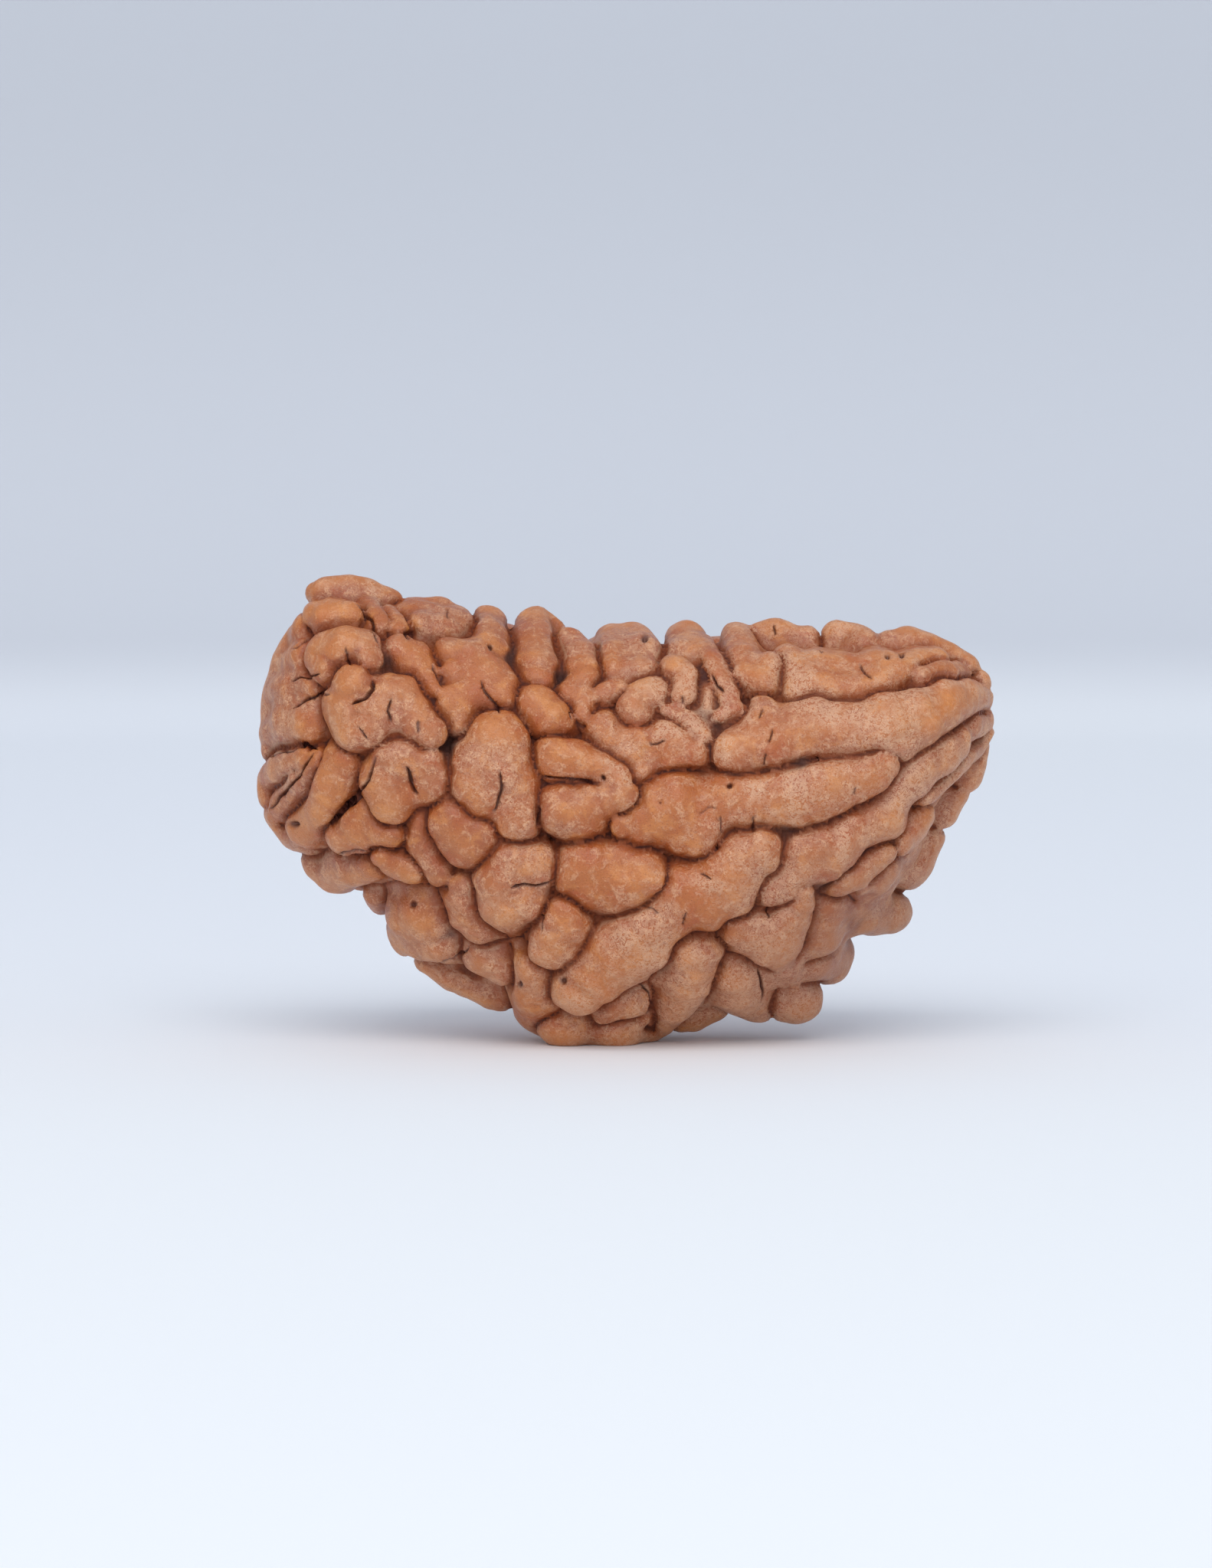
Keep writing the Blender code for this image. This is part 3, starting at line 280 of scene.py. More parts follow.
    "edgec": (-1.0, [(12.1, 8.4, 0.84), (11.78, 7.7, 0.82), (11.4, 7.0, 0.82)]),
    "finger": (-1.0, [(9.7, 5.2, 0.8), (10.4, 5.2, 0.86), (10.82, 5.2, 0.82)]),
    "fold_a": (0.1, [(4.6, 4.75, 0.8), (5.1, 4.65, 1.0), (5.8, 4.35, 1.05)]),
    "fold_b": (0.1, [(6.3, 4.4, 0.9), (6.6, 5.1, 0.85), (7.0, 5.7, 0.6), (7.15, 6.15, 0.42)]),
    "hind": (-0.5, [(8.3, 5.5, 0.5), (8.0, 5.0, 0.8), (7.9, 4.4, 0.85)]),
    "edged": (-0.9, [(7.7, 3.3, 0.76), (8.4, 3.5, 0.92), (8.4, 3.25, 0.86)]),
    "plum": (0.2, [(2.7, 3.65, 1.0), (2.75, 3.1, 0.95), (2.4, 2.4, 0.84), (1.9, 1.5, 0.78),
        (1.3, 0.95, 0.76)]),
    "toea": (-0.1, [(4.5, 2.9, 0.98), (4.6, 2.3, 1.0), (5.35, 1.78, 0.98)]),
    "toeb": (-0.1, [(6.1, 2.0, 1.0), (6.7, 1.95, 1.17), (6.9, 1.9, 1.12)]),
    "toec": (-0.5, [(3.45, 1.5, 0.76), (2.8, 1.2, 0.8), (2.35, 1.1, 0.7)]),
    "foot_a": (-0.1, [(-2.6, 1.0, 0.98), (-1.7, 1.05, 0.98), (-0.8, 1.4, 0.74), (0.1, 1.6, 0.62)]),
    "foot_b": (-0.2, [(0.5, 1.15, 0.7), (0.9, 1.12, 0.74)]),
}

# pads under the belly that carry the flat spot: (x, y, z, radius)
PADS = [
    (-2.4, -1.2, 1.15, 1.36), (-1.8, -0.1, 1.15, 1.60), (-0.4, -1.0, 1.10, 1.40),
    (-2.3, 1.2, 1.15, 1.50), (-0.7, 1.1, 1.15, 1.55), (0.6, 0.2, 1.15, 1.35),
]

# the growth line that runs between the two rows of teeth on the top edge: (x, y)
LINE = [
    (-9.3, 0.1), (-7.0, 0.2), (-4.5, 0.5), (-2.0, 0.3), (0.5, 0.6), (4.0, 0.4), (7.0, 0.6),
    (9.0, 0.3), (10.8, 0.1),
]

# narrow cuts in the front lobes, seen from the front: width, depth, (across, up) points
CUTS = [
    (0.1, 0.4, [(-11.0, 18.0), (-10.5, 17.3), (-10.03, 16.33)]),
    (0.08, 0.22, [(-11.43, 16.07), (-11.27, 15.4)]),
    (0.12, 0.5, [(-10.3, 14.87), (-10.33, 14.47), (-10.63, 14.13), (-11.1, 13.9)]),
    (0.09, 0.35, [(-9.6, 14.07), (-9.7, 13.6), (-9.63, 13.0)]),
    (0.07, 0.2, [(-8.5, 13.2), (-8.5, 12.6)]), (0.08, 0.25, [(-10.87, 12.9), (-10.57, 12.37)]),
    (0.12, 0.45, [(-9.03, 11.27), (-8.8, 10.53), (-8.5, 10.07)]),
    (0.08, 0.3, [(-13.77, 14.77), (-13.3, 14.97), (-12.57, 15.03)]),
    (0.09, 0.35, [(-13.63, 13.7), (-13.03, 13.97), (-12.17, 14.23)]),
    (0.06, 0.15, [(-13.63, 16.1), (-13.1, 16.37), (-12.63, 16.67)]),
    (0.09, 0.35, [(-14.8, 11.6), (-13.03, 12.2), (-12.6, 11.9)]),
    (0.1, 0.4, [(-12.77, 11.73), (-13.43, 10.87), (-14.5, 9.47)]),
    (0.1, 0.4, [(-10.3, 11.6), (-10.6, 10.6), (-11.0, 10.0), (-11.6, 9.4), (-12.1, 8.8)]),
    (0.08, 0.3, [(-12.1, 7.75), (-11.8, 7.67), (-11.2, 7.85), (-10.5, 7.85)]),
    (0.06, 0.18, [(-7.37, 17.67), (-7.23, 17.3)]), (0.08, 0.25, [(-7.9, 15.53), (-7.37, 14.53)]),
    (0.08, 0.3, [(-5.85, 14.8), (-5.5, 13.9), (-5.2, 13.4)]),
    (0.09, 0.35, [(-5.15, 11.1), (-5.1, 10.3), (-5.3, 9.3)]),
    (0.07, 0.22, [(-3.5, 9.7), (-3.55, 8.8)]),
    (0.1, 0.4, [(-3.4, 10.8), (-2.4, 10.75), (-1.4, 10.5)]),
    (0.1, 0.4, [(-4.75, 6.3), (-4.2, 6.45), (-3.7, 6.4), (-3.1, 6.55)]),
    (0.07, 0.2, [(-3.55, 5.1), (-3.5, 4.5)]),
    (0.07, 0.22, [(-7.55, 3.26), (-7.0, 3.45), (-6.47, 3.82)]),
    (0.06, 0.18, [(2.4, 5.3), (2.3, 4.7)]),
    (0.08, 0.28, [(0.5, 2.3), (0.9, 1.9), (1.0, 1.5), (0.8, 1.0)]),
    (0.07, 0.22, [(5.7, 5.5), (5.9, 5.1)]), (0.09, 0.32, [(5.5, 2.9), (5.6, 2.3), (5.6, 1.65)]),
    (0.07, 0.22, [(1.05, 12.1), (1.3, 12.1), (1.8, 12.3)]),
    (0.07, 0.22, [(2.3, 14.2), (2.35, 13.9)]),
    (0.09, 0.32, [(3.45, 15.0), (3.6, 14.5), (3.9, 14.3)]),
    (0.08, 0.25, [(6.05, 17.0), (6.2, 16.6)]), (0.08, 0.25, [(8.0, 16.3), (8.0, 15.95)]),
    (0.07, 0.22, [(9.45, 15.6), (9.7, 15.1), (10.0, 14.85)]),
    (0.06, 0.18, [(5.55, 13.6), (5.4, 13.2)]), (0.07, 0.2, [(5.7, 11.8), (5.6, 11.3)]),
    (0.07, 0.2, [(6.0, 12.8), (5.8, 12.2)]), (0.07, 0.2, [(5.2, 9.2), (5.15, 8.6)]),
    (0.06, 0.18, [(3.75, 9.2), (3.95, 8.5)]), (0.05, 0.12, [(2.9, 9.2), (3.3, 9.6), (3.6, 9.45)]),
    (0.06, 0.18, [(9.3, 10.4), (9.3, 10.1)]),
    (0.07, 0.22, [(-2.0, 13.8), (-2.25, 13.6), (-2.2, 13.2)]),
    (0.06, 0.15, [(0.8, 5.6), (1.3, 5.2)]), (0.07, 0.2, [(3.0, 7.0), (3.5, 6.75)]),
]

# small pits: (across, up, radius, depth)
PITS = [
    (-5.45, 16.2, 0.1, 0.25), (0.7, 16.45, 0.11, 0.3), (-1.05, 10.7, 0.1, 0.25),
    (4.25, 10.55, 0.1, 0.25), (11.1, 15.9, 0.12, 0.25), (10.6, 15.8, 0.08, 0.2),
    (-2.6, 2.45, 0.14, 0.2), (-4.4, 2.3, 0.1, 0.2), (-8.75, 5.6, 0.12, 0.2),
    (-13.6, 8.86, 0.12, 0.25), (-8.85, 16.65, 0.12, 0.3), (1.4, 9.7, 0.05, 0.1),
]

# hollows where several folds meet, darkened with painted shade: (across, up, radius)
HOLLOWS = [
    (-7.2, 12.0, 0.55), (-9.75, 15.6, 0.4), (-4.6, 15.9, 0.45), (-2.6, 15.0, 0.4),
    (-0.6, 14.6, 0.45), (3.4, 13.2, 0.6), (7.1, 11.4, 0.35), (6.6, 8.7, 0.4), (8.0, 6.6, 0.45),
    (-7.4, 4.3, 0.4), (9.4, 4.8, 0.4),
]

# pale dusty seams and skins left in the folds: width, (across, up) points
DUST = [
    (0.2, [(-10.5, 18.85), (-10.05, 18.1)]), (0.25, [(1.2, 14.85), (1.6, 14.6), (1.7, 14.2)]),
    (0.6, [(2.9, 15.2), (2.9, 13.8), (3.4, 12.2), (3.8, 12.0)]),
    (0.22, [(4.0, 15.8), (4.9, 14.0), (4.85, 13.3)]), (0.14, [(0.0, 9.4), (0.6, 9.95)]),
    (0.16, [(-1.0, 11.5), (-0.3, 11.2), (0.2, 10.6)]), (0.16, [(9.4, 13.6), (12.1, 14.55)]),
    (0.14, [(12.9, 14.55), (13.8, 14.65), (14.85, 14.1)]), (0.2, [(7.5, 15.0), (7.2, 14.2)]),
    (0.18, [(9.2, 13.3), (10.5, 13.1), (10.6, 12.2)]), (0.3, [(5.2, 10.3), (5.4, 10.3)]),
    (0.3, [(6.6, 11.0), (7.0, 10.4), (6.8, 9.0)]), (0.3, [(8.9, 8.9), (8.9, 7.6)]),
    (0.3, [(11.8, 10.9), (11.0, 9.9)]), (0.4, [(3.2, 6.5), (3.6, 6.5)]),
    (0.35, [(-0.2, 4.2), (0.1, 4.2)]), (0.25, [(0.7, 3.2), (1.4, 3.8)]),
    (0.35, [(8.1, 13.2), (8.5, 13.2)]), (0.5, [(1.6, 12.8), (2.4, 12.8)]),
    (0.3, [(-2.1, 1.6), (-1.7, 1.6)]), (0.45, [(6.5, 15.3), (7.4, 13.9), (8.4, 13.7)]),
]


def depth_inside(u, v):
    """Distance inside the outline, negative outside it."""
    ends = np.array(OUTLINE)
    starts = np.roll(ends, 1, axis=0)
    edge = ends - starts
    point = np.stack([u, v], -1)[..., None, :]
    along = ((point - starts) * edge).sum(-1) / (edge * edge).sum(-1)
    near = starts + np.clip(along, 0, 1)[..., None] * edge
    gap = np.sqrt(((point - near) ** 2).sum(-1)).min(-1)
    x = point[..., 0]
    y = point[..., 1]
    spans = (ends[:, 1] > y) != (starts[:, 1] > y)
    rise = np.where(np.abs(edge[:, 1]) < 1e-9, 1e-9, edge[:, 1])
    left = x < starts[:, 0] + (y - starts[:, 1]) * edge[:, 0] / rise
    return np.where((spans & left).sum(-1) % 2 == 1, gap, -gap)


def shell(u, v, radius):
    """Half thickness at which a ball of this radius touches the body's skin from inside."""
    inner = np.clip(depth_inside(u, v) - radius, 0, ROUNDING - radius) / (ROUNDING - radius)
    return (HALF_THICKNESS - radius) * np.sqrt(1 - (1 - inner) ** FULLNESS)


def inner_share(x, z):
    """0 where the body has its full thickness, 1 at its edge, more outside."""
    return np.clip(1 - (depth_inside(x, z) - CORE_INSET) / (ROUNDING - CORE_INSET), 0, None)


def core_gap(share, y):
    """About the distance to the smooth body under the folds."""
    thick = HALF_THICKNESS - CORE_INSET
    sunk = RING_SINK * 4 * share ** 2 * np.clip(1 - share ** 2, 0, None)
    return thick * (np.sqrt((y / thick) ** 2 + share ** FULLNESS) - 1) + sunk


def outward(spots):
    """Direction out of the smooth body at each point."""
    slope = []
    for step in 0.3 * np.eye(3):
        (x, y, z), (u, v, w) = (spots + step).T, (spots - step).T
        slope.append(core_gap(inner_share(x, z), y) - core_gap(inner_share(u, w), v))
    slope = np.stack(slope, -1)
    return slope / np.maximum(np.linalg.norm(slope, axis=-1, keepdims=True), 1e-9)


def pressed(chain, fold, folds):
    """A lobe grown until it presses on its neighbours, and sunk so that its crest stays.

    Lobes on the rim grow less, so that the gaps between the teeth stay open.
    """
    others = np.concatenate([other for near in folds if near is not fold for other in near])
    gap = np.linalg.norm(chain[:, None, :3] - others[None, :, :3], axis=-1)
    slack = (gap - chain[:, None, 3] - others[None, :, 3]).min(1)
    grow = np.clip(slack / 2 + PRESS, MIN_PRESS, MAX_PRESS) + (PUFF - 1) * chain[:, 3]
    way = outward(chain[:, :3])
    grow = grow * (RIM_SHARE + (1 - RIM_SHARE) * np.abs(way[:, 1]))
    spots = chain[:, :3] - way * grow[:, None]
    return np.concatenate([spots, chain[:, 3:] + grow[:, None]], 1)


def front_folds():
    """The laid-out lobes as points in space; those that share a first word make one fold."""
    folds = {}
    for name, (lift, spine) in LOBES.items():
        u, v, radius = np.array(spine).T
        y = -shell(u, v, radius) - lift
        scale = 1 + y / VIEW_DISTANCE
        z = VIEW_MIDDLE + (v - VIEW_MIDDLE) * scale - y * math.sin(VIEW_RISE)
        chain = np.stack([u * scale, y, z, radius * SWELL * scale], -1)
        folds.setdefault(name.split("_")[0], []).append(chain)
    folds = list(folds.values())
    return [[pressed(chain, fold, folds) for chain in fold] for fold in folds]


def ruled_spine(rng, u, v, radius, count):
    """A spine of the hidden sides: teeth on top, ridges toward the tip, coils at the blunt end."""
    if v > TEETH_LEVEL and depth_inside(np.array([u]), np.array([v]))[0] < 2.0:
        heading = -math.pi / 2 + rng.normal(0, 0.25)
        turn = rng.normal(0, 0.1)
        count = min(count, 3)
    elif u > COILS_END:
        heading = math.atan2(TIP[1] - v, TIP[0] - u) + rng.normal(0, 0.22)
        turn = rng.normal(0, 0.08)
    else:
        heading = rng.uniform(-math.pi, math.pi)
        turn = rng.normal(0, 0.55)
        count = min(count, 4)
    phase = rng.uniform(0, 6.3)
    spots = []
    for step in range(count):
        spots.append((u, v, radius * (1 + 0.16 * math.sin(phase + 1.4 * step))))
        u += math.cos(heading) * radius * 0.9
        v += math.sin(heading) * radius * 0.9
        heading += turn
    return np.array(spots)


def nearest_fold(chain, folds):
    """Index of the fold that comes closest to the lobe."""
    gaps = []
    for fold in folds:
        balls = np.concatenate(fold)
        gap = np.linalg.norm(chain[:, None, :3] - balls[None, :, :3], axis=-1)
        gaps.append((gap - chain[:, None, 3] - balls[None, :, 3]).min())
    return int(np.argmin(gaps))


def ruled_folds(folds):
    """Lobes of the hidden sides: long ones first, then smaller ones that branch off them."""
    rng = np.random.default_rng(SEED)
    placed = np.concatenate([chain for fold in folds for chain in fold])
    grown = []
    # smallest and largest radius, fewest and most balls, tries, least spacing, lift, branches
    rounds = [
        (0.95, 1.25, 5, 7, 500, 0.86, 0.15, False), (0.90, 1.25, 2, 5, 4000, 0.84, 0.15, False),
        (0.75, 1.00, 2, 4, 6000, 0.84, 0.05, True), (0.65, 0.85, 1, 3, 5000, 0.86, 0.0, True),
    ]
    for small, large, fewest, most, tries, packing, lift, branches in rounds:
        for _ in range(tries):
            radius = rng.uniform(small, large)
            count = rng.integers(fewest, most + 1)
            u = rng.uniform(-14.6, 14.8)
            v = rng.uniform(0.6, 18.2)
            u, v, radius = ruled_spine(rng, u, v, radius, count).T
            proud = lift + rng.uniform(-0.2, 0.25)
            if (depth_inside(u, v) - radius).min() < RIM_ROOM:
                continue
            chain = np.stack([u, shell(u, v, radius) + proud, v, radius], -1)
            gap = np.linalg.norm(chain[:, None, :3] - placed[None, :, :3], axis=-1)
            if (gap / (chain[:, None, 3] + placed[None, :, 3])).min() < packing:
                continue
            placed = np.concatenate([placed, chain])
            if branches:
                grown[nearest_fold(chain, grown)].append(chain)
            else:
                grown.append([chain])
    return [[pressed(chain, fold, folds + grown) for chain in fold] for fold in grown]


def chain_gap(points, chain):
    """Distance to a chain of balls joined by tapering rods."""
    near = np.full(points.shape[:-1], FAR)
    ends = chain[1:] if len(chain) > 1 else chain
    for a, b in zip(chain, ends):
        span = b[:3] - a[:3]
        along = np.clip(((points - a[:3]) @ span) / max(span @ span, 1e-9), 0, 1)
        gap = np.linalg.norm(points - a[:3] - along[..., None] * span, axis=-1)
        near = np.minimum(near, gap - a[3] - along * (b[3] - a[3]))
    return near


def blend(a, b, width):
    """The smaller of two distances, rounded where they are nearly equal."""
    touch = np.clip(width - np.abs(a - b), 0, None)
    return np.minimum(a, b) - touch ** 2 / (4 * width)


def fold_gap(points, fold):
    """Distance to a fold, whose lobes run into each other, more softly the more there are."""
    width = JOIN * min(1 + 0.1 * (len(fold) - 2), 1.4)
    near = chain_gap(points, fold[0])
    for chain in fold[1:]:
        near = blend(near, chain_gap(points, chain), width)
    return near


def rank(first, second, place, near):
    """Keeps the smallest and the second smallest distance."""
    second[place] = np.minimum(second[place], np.maximum(first[place], near))
    first[place] = np.minimum(first[place], near)


def body_field(folds, axes):
    """Distance to the fused folds and body at every grid point, in millimetres."""
    shape = tuple(len(axis) for axis in axes)
    clear, margin = 2.0, 0.8
    first = np.full(shape, clear)
    second = np.full(shape, clear)
    for fold in folds:
        balls = np.concatenate(fold)
        reach = balls[:, 3].max() + margin
        starts = [np.searchsorted(axes[i], balls[:, i].min() - reach) for i in range(3)]
        stops = [np.searchsorted(axes[i], balls[:, i].max() + reach) for i in range(3)]
        window = tuple(slice(start, stop) for start, stop in zip(starts, stops))
        parts = [axis[part] for axis, part in zip(axes, window)]
        near = fold_gap(np.stack(np.meshgrid(*parts, indexing="ij"), -1), fold)
        rank(first, second, window, near)
    skin = blend(first, second, CREASE_BLEND)
    x, z = np.meshgrid(axes[0], axes[2], indexing="ij")
    core = core_gap(inner_share(x, z)[:, None, :], axes[1][None, :, None])
    return blend(skin, core, CORE_BLEND)


def without_tunnels(field):
    """The folds are fused behind: nothing passes under a lobe from one crease to the next."""
    from_front = np.minimum.accumulate(field, axis=1)
    from_back = np.minimum.accumulate(field[:, ::-1], axis=1)[:, ::-1]
    return np.maximum(from_front, from_back)


def path_gap(spots, path):
    """Distance in the plane to a line of points, and how far along it the nearest spot is."""
    near = np.full(spots.shape[:-1], FAR)
    share = np.zeros(near.shape)
    path = np.array(path)
    for i, (a, b) in enumerate(zip(path[:-1], path[1:])):
        span = b - a
        along = np.clip(((spots - a) @ span) / max(span @ span, 1e-9), 0, 1)
        gap = np.linalg.norm(spots - a - along[..., None] * span, axis=-1)
        share = np.where(gap < near, (i + along) / (len(path) - 1), share)
        near = np.minimum(near, gap)
    return near, share


def cut_groove(field, axes):
    """The fine growth line sunk along the top edge, between the two rows of teeth."""
    gap, _ = path_gap(np.stack(np.meshgrid(axes[0], axes[1], indexing="ij"), -1), LINE)
    depth = GROOVE_DEPTH * np.exp(-(gap / (GROOVE_WIDTH / 2)) ** 2)
    high = np.clip((axes[2] - GROOVE_FOOT) / GROOVE_FADE, 0, 1)
    return field + depth[:, :, None] * high[None, None, :]


def corners(part):
    """Each corner of a grid cell, with its weight for points at these places in the cell."""
    for corner in itertools.product((0, 1), repeat=3):
        weight = np.ones(len(part))
        for i in range(3):
            weight = weight * (part[:, i] if corner[i] else 1 - part[:, i])
        yield np.array(corner), weight


def ripple(points, cell, seed):
    """Smooth random waves between -1 and 1 of about this cell size."""
    size = 64
    table = np.random.default_rng(seed).uniform(-1, 1, (size, size, size))
    place = points / cell
    low = np.floor(place).astype(int)
    part = place - low
    part = part * part * (3 - 2 * part)
    total = np.zeros(len(points))
    for corner, weight in corners(part):
        total += weight * table[tuple(((low + corner) % size).T)]
    return total


def drifted(points):
    """The skin pushed about a little, so that no fold stays perfectly round.

    Wide waves, and finer ones of less than half their height, both weaker near the flat spot.
    """
    wide = np.stack([ripple(points, 1.6, seed) for seed in (11, 12, 13)], -1)
    fine = np.stack([ripple(points, 0.7, seed) for seed in (14, 15, 16)], -1)
    above = np.clip((points[:, 2:] - FLAT_LEVEL) / 1.5, 0, 1)
    return points + (DRIFT * wide + 0.4 * DRIFT * fine) * above


def skin_of(field, axes, step):
    """Skin of four-sided faces where the field crosses zero, one point in each crossed cell."""
    cells = tuple(n - 1 for n in field.shape)
    total = np.zeros(cells + (3,), np.float32)
    count = np.zeros(cells, np.float32)
    quads = []
    number = np.arange(np.prod(cells)).reshape(cells)
    for axis in range(3):
        others = [i for i in range(3) if i != axis]
        a = np.take(field, range(cells[axis]), axis)
        b = np.take(field, range(1, cells[axis] + 1), axis)
        crossed = (a < 0) != (b < 0)
        share = np.where(crossed, a / np.where(crossed, a - b, 1), 0)
        for shift in itertools.product((0, 1), repeat=2):
            part = [slice(None)] * 3
            for i, s in zip(others, shift):
                part[i] = slice(s, s + cells[i])
            part = tuple(part)
            hit = crossed[part]
            count += hit
            total[..., axis] += np.where(hit, share[part], 0)
            for i, s in zip(others, shift):
                total[..., i] += np.where(hit, s, 0)
        core = tuple(slice(None) if i == axis else slice(1, -1) for i in range(3))
        spots = np.argwhere(crossed[core]) + (np.arange(3) != axis)
        ring = []
        for s, t in ((0, 0), (1, 0), (1, 1), (0, 1)):
            cell = spots.copy()
            cell[:, others[0]] -= s
            cell[:, others[1]] -= t
            ring.append(number[tuple(cell.T)])
        ring = np.stack(ring, 1)
        flip = (field[tuple(spots.T)] < 0) == (axis == 1)
        ring[flip] = ring[flip][:, ::-1]
        quads.append(ring)
    quads = np.concatenate(quads)
    used = np.argwhere(count > 0)
    middle = total[tuple(used.T)] / count[tuple(used.T)][:, None]
    origin = np.array([axis[0] for axis in axes])
    points = origin + (used + middle) * step
    index = np.full(number.size, -1)
    index[number[tuple(used.T)]] = np.arange(len(used))
    return points, index[quads]


def soften(grid, reach):
    """Mean over a cube of cells that reaches this many cells each way."""
    for axis in range(3):
        pad = [(0, 0)] * 3
        pad[axis] = (reach + 1, reach)
        run = np.cumsum(np.pad(grid, pad, mode="edge"), axis=axis)
        high = np.take(run, range(2 * reach + 1, run.shape[axis]), axis=axis)
        low = np.take(run, range(0, run.shape[axis] - 2 * reach - 1), axis=axis)
        grid = (high - low) / (2 * reach + 1)
    return grid


def sample(grid, axes, step, points):
    """Value of the grid at each point, blended between its eight neighbours."""
    origin = np.array([axis[0] for axis in axes])
    place = (points - origin) / step
    low = np.clip(np.floor(place).astype(int), 0, np.array(grid.shape) - 2)
    total = np.zeros(len(points))
    for corner, weight in corners(place - low):
        total += weight * grid[tuple((low + corner).T)]
    return total


def seen_from_front(points):
    """Where each point lies in the front view: across and up, in millimetres."""
    x, y, z = points.T
    scale = 1 + y / VIEW_DISTANCE
    v = VIEW_MIDDLE + (z + y * math.sin(VIEW_RISE) - VIEW_MIDDLE) / scale
    return np.stack([x / scale, v], -1)


def mark(near, width, front):
    """Strength of a soft-edged mark on the front at this distance from its middle."""
    return np.where(front, np.exp(-(near / width) ** 2), 0)


def cut_depth(points, facing):
    """How deep the narrow cuts and pits go at each point, in millimetres."""
    view = seen_from_front(points)
    view = view + CUT_WAVER * np.stack([ripple(points, 0.35, seed) for seed in (5, 6)], -1)
    depth = np.zeros(len(points))
    front = facing < -0.05
    for width, deep, path in CUTS:
        span = np.array(path)
        box = (view > span.min(0) - 0.5).all(1) & (view < span.max(0) + 0.5).all(1) & front
        near, share = path_gap(view[box], path)
        taper = np.clip(np.minimum(share, 1 - share) * 5 + 0.25, 0, 1)
        thin = width * CUT_WIDTH * np.sqrt(taper)
        depth[box] = np.maximum(depth[box], CUT_DEPTH * deep * taper * np.exp(-(near / thin) ** 2))
    for u, v, radius, deep in PITS:
        depth = np.maximum(depth, deep * mark(np.hypot(*(view - (u, v)).T), radius, front))
    return depth


def placed(name, data):
    """A new object with this data, placed in the scene."""
    item = bpy.data.objects.new(name, data)
    bpy.context.scene.collection.objects.link(item)
    return item


def mesh_object(name, points, faces):
    mesh = bpy.data.meshes.new(name)
    mesh.from_pydata(points, [], faces)
    return placed(name, mesh)


def rows_of(items, name):
    """One vector for each vertex or face, as rows."""
    rows = np.empty(len(items) * 3)
    items.foreach_get(name, rows)
    return rows.reshape(-1, 3)


def thin_out(item, share):
    """Fewer faces, keeping more of them on the front."""
    group = item.vertex_groups.new(name="spare")
    behind = rows_of(item.data.vertices, "co")[:, 1] > FRONT_LIMIT
    for chosen, level in ((behind, 1.0), (~behind, FRONT_SPARE)):
        group.add(np.nonzero(chosen)[0].tolist(), level, "REPLACE")
    thin = item.modifiers.new("thin", "DECIMATE")
    thin.ratio = share
    thin.vertex_group = "spare"
    thin.vertex_group_factor = 1.0
    bpy.context.view_layer.update()
    graph = bpy.context.evaluated_depsgraph_get()
    mesh = bpy.data.meshes.new_from_object(item.evaluated_get(graph))
    item.modifiers.clear()
    item.vertex_groups.clear()
    item.data = mesh


def split_faces(mesh, wanted):
    """Each wanted face is split in four, so that narrow cuts have sharp edges."""
    form = bmesh.new()
    form.from_mesh(mesh)
    form.faces.ensure_lookup_table()
    edges = dict.fromkeys(edge for index in wanted for edge in form.faces[index].edges)
    bmesh.ops.subdivide_edges(form, edges=list(edges), cuts=1, use_grid_fill=True)
    bmesh.ops.triangulate(form, faces=[face for face in form.faces if len(face.verts) > 3])
    form.to_mesh(mesh)
    form.free()


def seed_folds():
    """All folds: those of the front, the pads of the flat spot and those that follow a rule."""
    folds = front_folds()
    folds.append([np.array([pad]) for pad in PADS])
    return folds + ruled_folds(folds)


def grown_skin(folds):
    """The skin of the fused folds, with finer faces at the cuts, and the field it comes from."""
    axes = [np.arange(GRID_LOW[i], GRID_HIGH[i], GRID_STEP) for i in range(3)]
    field = cut_groove(without_tunnels(body_field(folds, axes)), axes)
    field = np.maximum(field, FLAT_LEVEL - axes[2][None, None, :]).astype(np.float32)
    points, faces = skin_of(field, axes, GRID_STEP)
    item = mesh_object("seed_skin", points.tolist(), faces.tolist())
    thin_out(item, TRIANGLES / (2 * len(faces)))
    for least in SPLIT_DEPTHS:
        middles = rows_of(item.data.polygons, "center")
        facing = rows_of(item.data.polygons, "normal")[:, 1]
        wanted = cut_depth(middles, facing) > least
        split_faces(item.data, np.nonzero(wanted)[0].tolist())
    return item, field, axes


def fold_layers(spots, folds):
    """How much farther the second nearest fold is than the nearest, and the nearest fold's tint."""
    margin = 1.0
    first = np.full(len(spots), FAR)
    second = np.full(len(spots), FAR)
    tint = np.zeros(len(spots))
    rng = np.random.default_rng(SEED)
    for fold in folds:
        shade = rng.uniform(-1, 1)
        balls = np.concatenate(fold)
        reach = balls[:, 3].max() + margin
        box = (spots > balls[:, :3].min(0) - reach).all(1)
        box &= (spots < balls[:, :3].max(0) + reach).all(1)
        near = fold_gap(spots[box], fold)
        tint[box] = np.where(near < first[box], shade, tint[box])
        rank(first, second, box, near)
    return np.clip(second - np.clip(first, 0, None), 0, 1), tint


